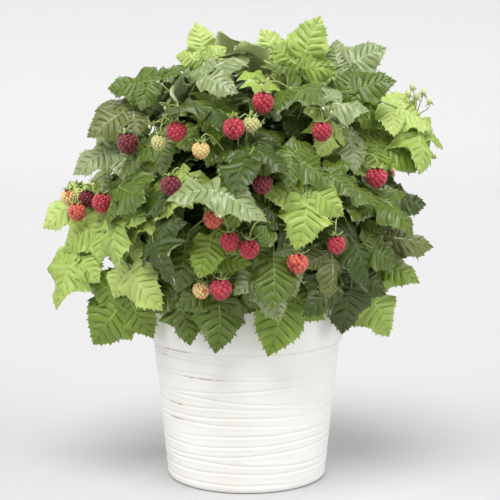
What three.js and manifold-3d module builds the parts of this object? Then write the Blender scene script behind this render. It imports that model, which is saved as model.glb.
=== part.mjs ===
// A raspberry bush fruiting in a white ceramic pot.
//
// Millimetres, +Z up. The origin is the middle of the pot's underside. Directions round the plant are
// azimuths in degrees: 0 is the front (-Y), 90 is the right (+X), 180 is the back.
//
// Nine canes rise from the soil, and each one ends in a mass of leaves and berries: three at the crest
// and six round the flanks. A mass is one solid, a spray of stems, leaves and berries that grow by a
// seeded rule, and it keeps to its own space, 0.3 mm clear of the tip of its cane.

import * as THREE from "three";
import { mergeVertices } from "three/addons/utils/BufferGeometryUtils.js";
import Module from "manifold-3d";

const wasm = await Module();
wasm.setup();

const SEED = 20717;
const GAP = 0.3; // running gap between neighbouring solids
const UP = new THREE.Vector3(0, 0, 1);

// ---------------------------------------------------------------- driving dimensions

const POT = {
  height: 200,
  rimRadius: 106, // outside, at the top
  footRadius: 84, // outside, just above the rounded foot
  footRound: 5,
  bandHeight: 53, // the plain band under the rim
  bandStep: 1.5, // how far the band stands proud of the body
  bandLean: 5.5, // how much wider the band is at its top than at its foot
  bandCurve: 14, // the height over which it bells out
  wall: 6.5,
  floor: 12,
  sides: 48,
};

const SOIL = { below: 20, chamfer: 4 }; // its level under the rim

const CROWN = {
  middle: 285, // height of the crown's widest ring
  radius: 146, // reach of the leaf joints there; the blades reach about 35 further
  rise: 166, // from the widest ring to the highest leaf joint
  fall: 150, // the same downwards, if the crown were closed below
  lowest: 124, // polar angle of the lowest ring of leaves, in degrees
  spreadLeaves: 58, // spread evenly
  fillLeaves: 52, // then grown into the gaps
  fillChoices: 12,
};

const LEAF = {
  length: 62, // the end leaflet's blade
  width: 50,
  sideShare: 0.84, // size of the two side leaflets
  sideTurn: 68, // degrees from the leaf's line
  rachis: 12, // between the side leaflets and the end one
  thickness: 1.2,
  stalkRadius: 0.8,
};

const FRUIT = { radius: 10.5, length: 21, stalk: 0.75 };

const CLEAR = {
  space: 0.6, // leaves to the border of their mass's space
  limb: 6, // leaves and twigs to the surface of a cane
  rim: 6, // leaves to the pot
  twig: 2.6, // the middle of one twig to the middle of another
};

// Canes: the foot's azimuth and distance from the middle, the share of the cane below its mass of
// leaves, the tip of the stem in that mass, and the middle of the space that the mass keeps to.
const CANES = [
  { name: "crest_left", foot: [-70, 18], bare: 0.68, tip: [-76, 58, 428], middle: [-80, 78, 412] },
  { name: "crest_right", foot: [65, 18], bare: 0.68, tip: [64, 60, 436], middle: [70, 78, 414] },
  { name: "crest_back", foot: [180, 20], bare: 0.68, tip: [176, 56, 408], middle: [175, 66, 384] },
  { name: "front", foot: [-4, 46], bare: 0.3, tip: [-4, 108, 334], middle: [-3, 120, 272] },
  { name: "front_right", foot: [58, 46], bare: 0.3, tip: [58, 112, 334], middle: [57, 126, 275] },
  { name: "back_right", foot: [112, 46], bare: 0.3, tip: [112, 112, 334], middle: [111, 124, 275] },
  { name: "back", foot: [162, 46], bare: 0.3, tip: [162, 108, 330], middle: [162, 120, 275] },
  { name: "back_left", foot: [-146, 46], bare: 0.3, tip: [-146, 112, 332], middle: [-147, 124, 272] },
  { name: "front_left", foot: [-62, 46], bare: 0.3, tip: [-63, 112, 330], middle: [-63, 128, 268] },
];
const YOUNG = ["crest_left", "crest_right"]; // the masses with pale young leaves

// Side stems in a mass: how far along its stem they leave it, and how their tips lie from the middle of
// its space, in degrees round the plant and millimetres outwards and upwards.
const CREST_SIDES = [
  { at: 0.16, turn: 34, out: 22, up: -22 },
  { at: 0.28, turn: -34, out: 22, up: -18 },
];
const FLANK_SIDES = [
  { at: 0.1, turn: 13, out: 12, up: -62 },
  { at: 0.16, turn: -13, out: 12, up: -56 },
  { at: 0.34, turn: 15, out: 16, up: 10 },
  { at: 0.42, turn: -15, out: 16, up: 16 },
];
const FAR_SIDES = {
  front_left: { at: 0.28, turn: -18, out: 52, up: 16 },
  front_right: { at: 0.5, turn: 22, out: 50, up: 92 },
};

// Shoots at the crown's outline, each with a leaf: azimuth, distance and height of the leaf's joint, the
// azimuth that its face looks to, the turn of its tip from hanging straight down, and its size.
const SHOOTS = [
  [-77, 46, 440, -10, -170, 0.62],
  [62, 62, 427, 5, 159, 0.8],
  [53, 50, 430, -5, -150, 0.8],
  [73, 100, 434, 15, 113, 0.76],
  [59, 116, 409, 20, 100, 0.72],
  [75, 150, 396, 25, 62, 0.76],
  [78, 182, 384, 20, 20, 0.9],
  [68, 150, 361, 30, 60, 0.72],
  [70, 146, 300, 35, 80, 0.72],
  [70, 142, 262, 35, 74, 0.72],
  [70, 138, 238, 30, 52, 0.8],
  [64, 134, 210, 30, 35, 0.8],
  [53, 130, 214, 25, -9, 0.8],
  [-67, 104, 420, -25, -79, 0.72],
  [-72, 122, 394, -30, -40, 0.72],
  [-74, 145, 355, -30, -50, 0.76],
  [-76, 172, 306, -15, -60, 0.8],
  [-67, 164, 280, -35, -60, 0.76],
  [-75, 176, 246, -25, -46, 0.82],
  [-62, 130, 208, -28, -12, 0.92],
  [-42, 124, 218, -38, -2, 0.82],
  [-22, 122, 226, -16, 8, 0.76],
  [-5, 124, 214, -4, -6, 0.82],
  [13, 124, 216, 10, -4, 0.82],
  [36, 124, 216, 30, 10, 0.82],
];

// Berries: azimuth, distance and height.
const BERRIES = [
  [8, 116, 401], [-5, 133, 377], [-30, 135, 373], [33, 135, 373], [58, 153, 325],
  [-28, 154, 322], [-69, 157, 297], [-78, 168, 299], [-74, 180, 287], [-80, 186, 300],
  [-6, 153, 270], [1, 152, 263], [19, 152, 248], [34, 156, 264], [-10, 142, 222],
  [-18, 141, 220], [-37, 141, 362], [-18, 141, 356], [2, 131, 381], [6, 148, 325],
  [-12, 152, 291], [-76, 150, 200], [-56, 142, 359],
];
const BERRIES_BEHIND = 10; // more of them, spread over the sides and the back
const SIGHT = 150; // how far before a berry no blade may hang

const GOLDEN = 137.508; // the golden angle, in degrees
const STALK_STEPS = 1;
const SLIVERS = [0.04, 0.012, 0.08]; // nothing finer than one of these is kept where twigs and blades join
const WELD = 1e-3; // points nearer than this become one

// ---------------------------------------------------------------- small tools

const radians = THREE.MathUtils.degToRad;
const vec = (x, y, z) => new THREE.Vector3(x, y, z);

// A number from 0 to 1 that depends only on its keys.
function draw(...keys) {
  let h = SEED;
  for (const key of keys) {
    h = Math.imul(h ^ key, 0x9e3779b1);
    h ^= h >>> 15;
    h = Math.imul(h, 0x85ebca6b);
    h ^= h >>> 13;
  }
  return (h >>> 0) / 2 ** 32;
}

// The point at an azimuth, distance from the middle and height.
function at(azimuth, distance, height) {
  const a = radians(azimuth);
  return vec(distance * Math.sin(a), -distance * Math.cos(a), height);
}

// A closed geometry as a solid that can be joined and cut.
function solid(geometry) {
  const bare = geometry.clone();
  for (const name of Object.keys(bare.attributes)) {
    if (name !== "position") bare.deleteAttribute(name);
  }
  const merged = mergeVertices(bare, 1e-4);
  return new wasm.Manifold(
    new wasm.Mesh({
      numProp: 3,
      vertProperties: merged.attributes.position.array,
      triVerts: new Uint32Array(merged.index.array),
    }),
  );
}

// A solid as a geometry again.
function geometryOf(made) {
  const mesh = made.getMesh();
  const points = new Float32Array(mesh.numVert * 3);
  for (let i = 0; i < mesh.numVert; i++) {
    points.set(mesh.vertProperties.subarray(i * mesh.numProp, i * mesh.numProp + 3), i * 3);
  }
  const geometry = new THREE.BufferGeometry();
  geometry.setAttribute("position", new THREE.BufferAttribute(points, 3));
  geometry.setIndex(new THREE.BufferAttribute(mesh.triVerts, 1));
  return geometry;
}

// A tapering round limb along the stretch of a curve from one share of its length to another.
function limbGeometry(curve, from, to, radiusFrom, radiusTo, sides, steps) {
  const geometry = new THREE.CylinderGeometry(radiusTo, radiusFrom, 1, sides, steps);
  const places = geometry.attributes.position;
  const start = curve.getTangentAt(from);
  const aside = Math.abs(start.z) > 0.9 ? vec(1, 0, 0) : UP;
  let across = aside.clone().cross(start).normalize();
  const rings = [];
  for (let i = 0; i <= steps; i++) {
    const share = Math.min(1, from + ((to - from) * i) / steps);
    const along = curve.getTangentAt(share);
    across = across.clone().addScaledVector(along, -across.dot(along)).normalize();
    rings.push({ middle: curve.getPointAt(share), across, over: along.clone().cross(across) });
  }
  for (let i = 0; i < places.count; i++) {
    const ring = rings[Math.round((places.getY(i) + 0.5) * steps)];
    const point = ring.middle.clone();
    point.addScaledVector(ring.across, places.getZ(i)).addScaledVector(ring.over, places.getX(i));
    places.setXYZ(i, point.x, point.y, point.z);
  }
  return geometry;
}

// ---------------------------------------------------------------- pot and soil

const body = {
  top: POT.height - POT.bandHeight,
  radius(z) {
    const full = POT.rimRadius - POT.bandLean - POT.bandStep;
    return POT.footRadius + (full - POT.footRadius) * Math.min(1, z / this.top);
  },
};

const innerRadius = (z) => body.radius(z) - POT.wall + Math.max(0, (z - body.top) / POT.bandCurve);

function potGeometry() {
  const { height, rimRadius, footRadius, footRound, bandStep, bandLean, bandCurve, wall, floor } = POT;
  const lip = wall / 2;
  const outline = [
    [0, 0],
    [footRadius - footRound, 0],
    [footRadius - footRound * 0.3, footRound * 0.3],
    [footRadius + 0.3, footRound],
    [body.radius(body.top), body.top],
    [body.radius(body.top) + bandStep, body.top + bandStep],
    [rimRadius - bandLean * 0.4, body.top + bandCurve],
    [rimRadius, height - lip],
    [rimRadius - lip * 0.3, height - lip * 0.3],
    [rimRadius - lip, height],
    [innerRadius(height), height - lip * 0.6],
    [innerRadius(body.top), body.top],
    [innerRadius(floor), floor],
    [0, floor],
  ];
  return new THREE.LatheGeometry(outline.map(([r, z]) => new THREE.Vector2(r, z)), POT.sides);
}

const soilLevel = POT.height - SOIL.below;

function soilGeometry() {
  const bottom = POT.floor + GAP;
  const kerb = soilLevel - SOIL.chamfer;
  const outline = [
    [0, bottom],
    [innerRadius(bottom) - 2 * GAP, bottom],
    [innerRadius(body.top) - 2 * GAP, body.top],
    [innerRadius(kerb) - 2 * GAP, kerb],
    [innerRadius(soilLevel) - 2 * SOIL.chamfer, soilLevel],
    [0, soilLevel],
  ];
  return new THREE.LatheGeometry(outline.map(([r, z]) => new THREE.Vector2(r, z)), POT.sides);
}

// Lathes turn round Y, and the pot stands along Z.
function upright(geometry) {
  return geometry.rotateX(Math.PI / 2);
}

// ---------------------------------------------------------------- canes, and the space of each mass

// A cane leaves the soil straight up and leans out to its tip.
function caneCurve({ foot, tip }) {
  const start = at(foot[0], foot[1], soilLevel + GAP);
  const end = at(...tip);
  const rise = end.z - start.z;
  const upper = start.clone().lerp(end, 0.55).setZ(start.z + rise * 0.72);
  return new THREE.CubicBezierCurve3(start, start.clone().addScaledVector(UP, rise * 0.35), upper, end);
}

// A side stem leaves its parent upwards, arches over and comes down to its tip.
function archingCurve(start, end, arch) {
  const span = Math.hypot(end.x - start.x, end.y - start.y);
  const crest = Math.max(start.z, end.z) + span * arch;
  return new THREE.CubicBezierCurve3(
    start,
    start.clone().lerp(end, 0.3).setZ(start.z + (crest - start.z) * 0.8),
    start.clone().lerp(end, 0.75).setZ(crest),
    end,
  );
}

const CANE_RADII = [4.2, 2.2];
const SIDE_ARCH = 0.2;
const SIDE_DEPTH = 3; // how far inside the space of its mass a side stem stays

const limbs = CANES.map((cane, index) => {
  const curve = caneCurve(cane);
  const line = [...Array(9).keys()].map((i) => curve.getPointAt((cane.bare * i) / 8));
  const sides = cane.name.startsWith("crest") ? [...CREST_SIDES] : [...FLANK_SIDES];
  if (FAR_SIDES[cane.name]) sides.push(FAR_SIDES[cane.name]);
  const tone = YOUNG.includes(cane.name) ? "young" : "mature";
  return { ...cane, index, curve, line, sides, tone, length: curve.getLength(), radii: CANE_RADII };
});

// Each mass keeps to the space that is nearer to its middle than to any other's.
const middles = limbs.map((limb) => at(...limb.middle));

function depthInSpace(index, point) {
  const mine = middles[index];
  let depth = Infinity;
  middles.forEach((other, i) => {
    if (i === index) return;
    const way = other.clone().sub(mine);
    const half = way.length() / 2;
    depth = Math.min(depth, half - point.clone().sub(mine).dot(way.normalize()));
  });
  return depth;
}

function nearestMiddle(point) {
  let best = 0;
  middles.forEach((middle, i) => {
    if (middle.distanceTo(point) < middles[best].distanceTo(point)) best = i;
  });
  return best;
}

const CANE_SIDES = 7;
const CANE_STEPS = 5;

// The stems of a mass: the limb's own line from just past its end, and the side stems.
const STEM_RADII = [CANE_RADII[1], 1.5];
const SIDE_RADII = [1.25, 1.15];
const STEM_SIDES = 4;
const STEM_STEPS = 4;

function stemAlong(curve, from, radii) {
  const share = (i) => Math.min(1, from + ((1 - from) * i) / STEM_STEPS);
  const line = [...Array(STEM_STEPS + 1).keys()].map((i) => curve.getPointAt(share(i)));
  return { curve, from, radii, line, length: curve.getLength() * (1 - from) };
}

// The place at a share of a stem's length, on the straight stretches that it is made of.
function onStem({ line }, share) {
  const step = Math.min(STEM_STEPS - 1, Math.floor(share * STEM_STEPS));
  return line[step].clone().lerp(line[step + 1], share * STEM_STEPS - step);
}

function stemsOf(limb) {
  const main = stemAlong(limb.curve, limb.bare + GAP / limb.length, STEM_RADII);
  const sides = limb.sides.map(({ at: share, turn, out, up }) => {
    const [azimuth, distance, height] = limb.middle;
    const start = onStem(main, share);
    const end = at(azimuth + turn, distance + out, height + up);
    let stem = stemAlong(archingCurve(start, end, SIDE_ARCH), 0, SIDE_RADII);
    while (stem.line.slice(1).some((point) => depthInSpace(limb.index, point) < SIDE_DEPTH)) {
      end.lerp(start, 0.1);
      stem = stemAlong(archingCurve(start, end, SIDE_ARCH), 0, SIDE_RADII);
    }
    return stem;
  });
  return [main, ...sides];
}

// ---------------------------------------------------------------- leaves

// Half of the blade's width at a share of its length, where 1 is the widest.
function outline(s) {
  const widest = 0.36;
  const shape = (x) => x ** 0.56 * (1 - x);
  return shape(s) / shape(widest);
}

// A point of a leaflet: s runs from its base to its tip, t from -1 to 1 across it.
function leafletPoint(leaflet, s, t, lift = 0) {
  const { base, along, face, length, width, arch, cup } = leaflet;
  const side = along.clone().cross(face);
  const half = (width / 2) * outline(s);
  return base
    .clone()
    .addScaledVector(along, length * s)
    .addScaledVector(side, half * t)
    .addScaledVector(face, lift - arch * length * s * s - cup * half * t * t);
}

const EDGE = [0.2, 0.6]; // where the blade's edge turns
const MIDDLE = 0.42; // where its faces meet

// The blade's edge from its base round to its base again, the right side first.
function leafletEdge(leaflet) {
  const right = EDGE.map((s) => leafletPoint(leaflet, s, 1));
  const left = EDGE.map((s) => leafletPoint(leaflet, s, -1)).reverse();
  return [...right, leafletPoint(leaflet, 1, 0), ...left];
}

// A whole leaf as one closed body: a four-sided stalk that runs on into one to three blades.
function leafGeometry(leaf) {
  const radius = LEAF.stalkRadius * Math.sqrt(leaf.scale);
  const upper = [];
  const lower = [];
  const faces = [];
  const add = (point, under = point) => upper.push(point) && lower.push(under) && upper.length - 1;
  const fan = (middle, loop) => loop.forEach((v, i) => faces.push([middle, v, loop[(i + 1) % loop.length]]));

  const line = leaf.twig.getPoints(STALK_STEPS);
  let last = null;
  line.forEach((point, i) => {
    const along = leaf.twig.getTangent(i / STALK_STEPS);
    const side = i === STALK_STEPS ? leaf.side : along.clone().cross(leaf.face).normalize();
    const top = side.clone().cross(along).normalize();
    const ring = [
      add(point.clone().addScaledVector(side, -radius)),
      add(point.clone().addScaledVector(top, radius), point.clone().addScaledVector(top, -radius)),
      add(point.clone().addScaledVector(side, radius)),
    ];
    if (last) {
      faces.push([last[0], last[1], ring[1]], [last[0], ring[1], ring[0]]);
      faces.push([last[1], last[2], ring[2]], [last[1], ring[2], ring[1]]);
    }
    last = ring;
  });

  const [leftJoint, hub, rightJoint] = last;
  const fork = leaf.joint.clone().addScaledVector(leaf.along, LEAF.rachis * leaf.scale * 0.55);
  const leftFork = add(fork.clone().addScaledVector(leaf.side, -radius));
  const rightFork = add(fork.clone().addScaledVector(leaf.side, radius));
  const ends = { [-1]: [leftFork, leftJoint], 0: [rightFork, leftFork], 1: [rightJoint, rightFork] };
  for (const role of [-1, 0, 1]) {
    const leaflet = leaf.leaflets.find((l) => l.role === role);
    const [from, to] = ends[role];
    if (!leaflet) {
      faces.push([hub, from, to]);
      continue;
    }
    const edge = leafletEdge(leaflet).map((point) => add(point));
    const middle = add(
      leafletPoint(leaflet, MIDDLE, 0, LEAF.thickness / 2),
      leafletPoint(leaflet, MIDDLE, 0, -LEAF.thickness / 2),
    );
    fan(middle, [hub, from, ...edge, to]);
  }

  // The lower side mirrors the upper one; only points that lie apart from it are added.
  const under = upper.map((point, i) => (lower[i] === point ? i : upper.push(lower[i]) - 1));
  const turned = faces.map(([i, j, k]) => [under[k], under[j], under[i]]);
  const cap = [1, 0, under[1], 1, under[1], 2];
  const geometry = new THREE.BufferGeometry().setFromPoints(upper);
  geometry.setIndex([...faces.flat(), ...turned.flat(), ...cap]);
  return geometry;
}

// ---------------------------------------------------------------- where the leaves grow

// The directions out, round and down at a place that faces an azimuth and slopes by an angle.
function facing(place, azimuth, slope) {
  const out = at(azimuth, Math.cos(slope), Math.sin(slope));
  const round = at(azimuth + 90, 1, 0);
  return { place, out, round, down: round.clone().cross(out) };
}

// A place on the crown's skin: polar angle from the top and azimuth, in degrees.
function skin(polar, azimuth, share) {
  const p = radians(polar);
  const height = polar < 90 ? CROWN.rise : CROWN.fall;
  const radius = CROWN.radius * Math.sin(p) * share;
  const place = at(azimuth, radius, CROWN.middle + height * Math.cos(p) * (polar < 90 ? share : 1));
  return facing(place, azimuth, Math.atan2(Math.cos(p) * CROWN.radius, Math.sin(p) * height));
}

function limbClearance(point) {
  let least = Infinity;
  const line = new THREE.Line3();
  const nearest = vec(0, 0, 0);
  for (const limb of limbs) {
    for (let i = 0; i + 1 < limb.line.length; i++) {
      line.set(limb.line[i], limb.line[i + 1]).closestPointToPoint(point, true, nearest);
      least = Math.min(least, nearest.distanceTo(point) - limb.radii[0]);
    }
  }
  return least;
}

function clearOfPot(point) {
  const reach = POT.rimRadius + CLEAR.rim;
  return point.z > POT.height + CLEAR.rim || Math.hypot(point.x, point.y) > reach;
}

function fits(index, points) {
  return points.every(
    (point) =>
      depthInSpace(index, point) > CLEAR.space && clearOfPot(point) && limbClearance(point) > CLEAR.limb,
  );
}

// Buds along the stems of a mass. Each bears one twig.
const BUD_SPACING = 4.5;

function budsOf(stems) {
  return stems.flatMap((stem) => {
    const count = Math.floor(stem.length / BUD_SPACING);
    return [...Array(count).keys()].slice(1).map((i) => {
      const point = onStem(stem, i / count);
      return { point, along: onStem(stem, (i + 1) / count).sub(point).normalize(), taken: false };
    });
  });
}

// The free bud for a twig to a place: near it, with the twig slanting forwards.
function budFor(spray, place) {
  let best = null;
  let least = Infinity;
  for (const bud of spray.buds) {
    if (bud.taken) continue;
    const way = place.clone().sub(bud.point);
    const cost = way.length() * (1.4 - 0.4 * way.clone().normalize().dot(bud.along));
    if (cost < least) [least, best] = [cost, bud];
  }
  return best;
}

// Each try at a leaf shifts it towards the middle of its mass, turns it, sinks it in and shrinks it
// differently.
const SHIFTS = [[0, 0], [0, -28], [0, 28], [14, 0], [14, -50], [14, 50], [30, 0], [30, -75], [30, 75]];
const TRIES = [];
for (const size of [1, 0.85, 0.7]) {
  for (const sink of [0, 14, -12, 28]) {
    for (const [shift, turn] of SHIFTS) TRIES.push({ size, sink, shift, turn });
  }
}

// How leaves vary, each evenly between two limits.
const VARY = {
  swing: [-35, 35], // of the tip from hanging straight down, in degrees
  lean: [14, 40], // outwards from the crown's skin, in degrees
  tilt: [-0.4, 0.4], // of the face to one side
  size: [0.86, 1.14],
  spread: [-7, 7], // of the side leaflets, in degrees
  arch: [0.1, 0.3], // drop of the tip, as a share of the blade's length
  cup: [0.12, 0.42], // drop of the edges, as a share of half the blade's width
  depth: [0.94, 1.06], // of the leaf's place, as a share of the crown's size
};
const vary = ([low, high], ...keys) => low + (high - low) * draw(...keys);

const LIGHTWARD = 0.35; // how far a leaf's face turns up from the crown's skin

// A leaf of three leaflets at a place on the skin.
function leafAt(spray, spot, { size, sink, shift, turn }) {
  const { key, index } = spot;
  const inwards = middles[index].clone().sub(spot.place);
  inwards.addScaledVector(spot.out, -inwards.dot(spot.out));
  const joint = spot.place.clone().addScaledVector(spot.out, -sink);
  if (inwards.length() > 1) joint.addScaledVector(inwards.normalize(), shift);
  const swing = radians((spot.swing ?? vary(VARY.swing, key, 1)) + turn);
  const lean = radians(vary(VARY.lean, key, 2));
  const down = spot.upright ? spot.down.clone().negate() : spot.down;
  const flat = down.clone().multiplyScalar(Math.cos(swing)).addScaledVector(spot.round, Math.sin(swing));
  const along = flat.multiplyScalar(Math.cos(lean)).addScaledVector(spot.out, Math.sin(lean)).normalize();
  const face = spot.out.clone().addScaledVector(UP, LIGHTWARD);
  face.addScaledVector(spot.round, vary(VARY.tilt, key, 3));
  face.addScaledVector(along, -face.dot(along)).normalize();
  const scale = size * vary(VARY.size, key, 4) * spot.size;
  const spread = radians(LEAF.sideTurn + vary(VARY.spread, key, 5));
  const leaflets = [0, -1, 1].map((role) => {
    const share = role ? LEAF.sideShare : 1;
    return {
      role,
      base: joint.clone().addScaledVector(along, role ? 0 : LEAF.rachis * scale),
      along: along.clone().applyAxisAngle(face, -role * spread),
      face,
      length: LEAF.length * scale * share,
      width: LEAF.width * scale * share,
      arch: vary(VARY.arch, key, 6 + role),
      cup: vary(VARY.cup, key, 9 + role),
    };
  });
  const bud = budFor(spray, joint);
  const side = along.clone().cross(face);
  return { joint, along, face, side, leaflets, bud, twig: new THREE.LineCurve3(bud.point, joint), scale };
}

// A blade's four main faces and their edges, by which crossings are found.
function frameOf(leaflet) {
  const base = leafletPoint(leaflet, 0, 0);
  const tip = leafletPoint(leaflet, 1, 0);
  const right = leafletPoint(leaflet, 0.36, 1.1);
  const left = leafletPoint(leaflet, 0.36, -1.1);
  const middle = leafletPoint(leaflet, MIDDLE, 0);
  const rim = [base, right, tip, left];
  const faces = rim.map((point, i) => [point, rim[(i + 1) % 4], middle]);
  const edges = rim.map((point, i) => [point, rim[(i + 1) % 4]]);
  return { faces, edges: [...edges, [base, middle], [middle, tip], [right, middle], [middle, left]] };
}

const ray = new THREE.Ray();
const hit = vec(0, 0, 0);

function crosses([from, to], [a, b, c]) {
  ray.origin.copy(from);
  ray.direction.subVectors(to, from).normalize();
  return ray.intersectTriangle(a, b, c, false, hit) !== null && hit.distanceTo(from) < from.distanceTo(to);
}

// The least distance between two straight lines' stretches, found at a few places along each.
function apart([a, b], [c, d]) {
  const line = new THREE.Line3(c, d);
  let least = Infinity;
  for (let i = 0; i <= 4; i++) {
    const point = a.clone().lerp(b, i / 4);
    line.closestPointToPoint(point, true, hit);
    least = Math.min(least, hit.distanceTo(point));
  }
  return least;
}

// A twig's line past its first stretch, where it leaves its bud.
const pathOf = (twig) => stepsOf([0.2, 0.6, 1].map((share) => twig.getPoint(share)));
const touches = (path, paths) => path.some((step) => paths.some((other) => apart(step, other) < CLEAR.twig));
const anyCross = (edges, faces) => edges.some((edge) => faces.some((face) => crosses(edge, face)));
const stepsOf = (points) => points.slice(1).map((point, i) => [points[i], point]);

// What has grown in each mass so far: its blades' faces, every edge and twig, and its berries.
const sprays = limbs.map((limb) => {
  const stems = stemsOf(limb);
  return {
    limb,
    stems,
    leaves: [],
    berries: [],
    buds: budsOf(stems),
    paths: [],
    faces: [],
    edges: stems.flatMap(({ line }) => stepsOf(line)),
  };
});
const blades = []; // the middle of every blade grown
const sightLines = []; // no blade hides a berry that faces the front
const limbSteps = limbs.flatMap((limb) => stepsOf(limb.line));

const nearestOn = new THREE.Triangle();

function clearOfBerries(faces, berries) {
  return berries.every(({ place, size }) =>
    faces.every((face) => {
      nearestOn.set(...face).closestPointToPoint(place, hit);
      return hit.distanceTo(place) > FRUIT.radius * size * 1.08;
    }),
  );
}

function growLeaf(spot, tries = TRIES) {
  const { index } = spot;
  const spray = sprays[index];
  let best = null;
  for (const [order, attempt] of tries.entries()) {
    const leaf = leafAt(spray, spot, attempt);
    const line = leaf.twig.getPoints(5);
    if (!line.slice(1).every((p) => depthInSpace(index, p) > CLEAR.space && clearOfPot(p))) continue;
    if (!line.slice(2).every((p) => limbClearance(p) > CLEAR.limb / 2)) continue;
    leaf.path = pathOf(leaf.twig);
    if (anyCross(leaf.path, spray.faces) || touches(leaf.path, spray.paths)) continue;
    leaf.leaflets = leaf.leaflets.filter((leaflet) => {
      const middle = leafletPoint(leaflet, MIDDLE, 0);
      if (!fits(index, [...leafletEdge(leaflet), middle])) return false;
      const { faces, edges } = frameOf(leaflet);
      if (anyCross([...sightLines, ...limbSteps, ...spray.edges], faces)) return false;
      return !anyCross(edges, spray.faces) && clearOfBerries(faces, spray.berries);
    });
    if (!leaf.leaflets.length) continue;
    leaf.score = leaf.leaflets.reduce((sum, l) => sum + l.length * l.width, 0) * (1 - order * 0.002);
    if (!best || leaf.score > best.score) best = leaf;
    if (leaf.leaflets.length === 3) break;
  }
  if (!best) return;
  blades.push(...best.leaflets.map((leaflet) => leafletPoint(leaflet, MIDDLE, 0)));
  spray.leaves.push(best);
  best.bud.taken = true;
  spray.paths.push(...best.path);
  spray.edges.push(...best.path);
  for (const frame of best.leaflets.map(frameOf)) {
    spray.faces.push(...frame.faces);
    spray.edges.push(...frame.edges);
  }
}

// ---------------------------------------------------------------- berries, then leaves round them

function growBerry(place, key, seen) {
  const index = nearestMiddle(place);
  const spray = sprays[index];
  const size = 0.9 + 0.2 * draw(key, 3);
  const room = FRUIT.length * 0.6 * size + CLEAR.space;
  for (let i = 0; i < 12 && depthInSpace(index, place) < room; i++) place.lerp(middles[index], 0.06);
  const bud = budFor(spray, place);
  bud.taken = true;
  const twig = new THREE.LineCurve3(bud.point, place.clone().addScaledVector(UP, FRUIT.length * 0.4 * size));
  const path = pathOf(twig);
  spray.berries.push({ place, size, twig });
  spray.paths.push(...path);
  spray.edges.push(...path);
  if (!seen) return;
  for (const aside of [-0.4, 0.4]) {
    const from = place.clone().add(vec(aside * FRUIT.radius, 0, 0));
    sightLines.push([from, from.clone().add(vec(0, -SIGHT, SIGHT * 0.13))]);
  }
}

BERRIES.forEach((berry, i) => growBerry(at(...berry), 3000 + i, true));
for (let i = 0; i < BERRIES_BEHIND; i++) {
  const key = 3100 + i;
  const azimuth = 88 + (190 * (i + 0.5)) / BERRIES_BEHIND + 8 * draw(key, 1);
  growBerry(skin(50 + 62 * draw(key, 2), azimuth, 1.08).place, key, false);
}

const YOUNG_SIZE = 0.88;
const UPRIGHT_ABOVE = 50; // polar angle of the crest, where some leaves stand up
const UPRIGHT_SHARE = 0.35;

// A leaf's spot on the crown, at a share of the crown's size.
function spotAt(cosine, azimuth, share, key) {
  const polar = THREE.MathUtils.radToDeg(Math.acos(cosine));
  const index = nearestMiddle(skin(polar, azimuth, share).place);
  const depth = share * vary(VARY.depth, key, 21);
  const size = limbs[index].tone === "young" ? YOUNG_SIZE : 1;
  const upright = polar < UPRIGHT_ABOVE && draw(key, 22) < UPRIGHT_SHARE;
  return { ...skin(polar, azimuth, depth), index, key, size, upright };
}

const LOWEST = Math.cos(radians(CROWN.lowest));

// First the shoots, which stay near their places.
const SHOOT_SLOPE = 0.3;
const HANGING = 230; // shoots lower than this hang down over the rim
const SHOOT_TRIES = TRIES.filter(({ shift, turn }) => shift < 20 && Math.abs(turn) < 30);

SHOOTS.forEach(([azimuth, distance, height, face, swing, size], i) => {
  const place = at(azimuth, distance, height);
  const index = nearestMiddle(place);
  const slope = height < HANGING ? -SHOOT_SLOPE : SHOOT_SLOPE;
  const spot = { ...facing(place, face, slope), index, key: 2000 + i, size, swing, upright: false };
  growLeaf(spot, SHOOT_TRIES);
});

// Then an even spread by the golden angle, then one leaf at a time in the most open of a few places.
for (let i = 0; i < CROWN.spreadLeaves; i++) {
  const cosine = 1 - ((i + 0.5) / CROWN.spreadLeaves) * (1 - LOWEST);
  growLeaf(spotAt(cosine, i * GOLDEN + 12 * (draw(i, 20) - 0.5), 1, i));
}

function openness(spot) {
  return blades.reduce((least, blade) => Math.min(least, blade.distanceTo(spot.place)), Infinity);
}

for (let i = 0; i < CROWN.fillLeaves; i++) {
  const options = [...Array(CROWN.fillChoices).keys()].map((j) => {
    const key = 1000 + 40 * i + j;
    const cosine = 1 - draw(key, 30) * (1 - LOWEST);
    return spotAt(cosine, 360 * draw(key, 31), 0.7 + 0.3 * draw(key, 32), key);
  });
  growLeaf(options.reduce((best, spot) => (openness(spot) > openness(best) ? spot : best)));
}

// A berry: a blunt cone, hanging by its wide end.
function berryGeometry({ place, size }) {
  const geometry = new THREE.SphereGeometry(1, 6, 4);
  const places = geometry.attributes.position;
  for (let i = 0; i < places.count; i++) {
    const [x, y, z] = [places.getX(i), places.getY(i), places.getZ(i)];
    const wide = FRUIT.radius * size * (1 + 0.12 * y);
    places.setXYZ(i, place.x + x * wide, place.y - z * wide, place.z + (y * FRUIT.length * size) / 2);
  }
  return geometry;
}

// ---------------------------------------------------------------- each mass as one solid

// Whether every edge has two faces once points that all but touch are welded.
function closes(made) {
  const { index } = mergeVertices(geometryOf(made), WELD);
  const uses = new Map();
  for (let i = 0; i < index.count; i += 3) {
    const corners = [index.getX(i), index.getX(i + 1), index.getX(i + 2)];
    if (new Set(corners).size < 3) return false;
    corners.forEach((corner, k) => {
      const other = corners[(k + 1) % 3];
      const edge = Math.min(corner, other) * index.count + Math.max(corner, other);
      uses.set(edge, (uses.get(edge) ?? 0) + 1);
    });
  }
  return [...uses.values()].every((count) => count === 2);
}

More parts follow.
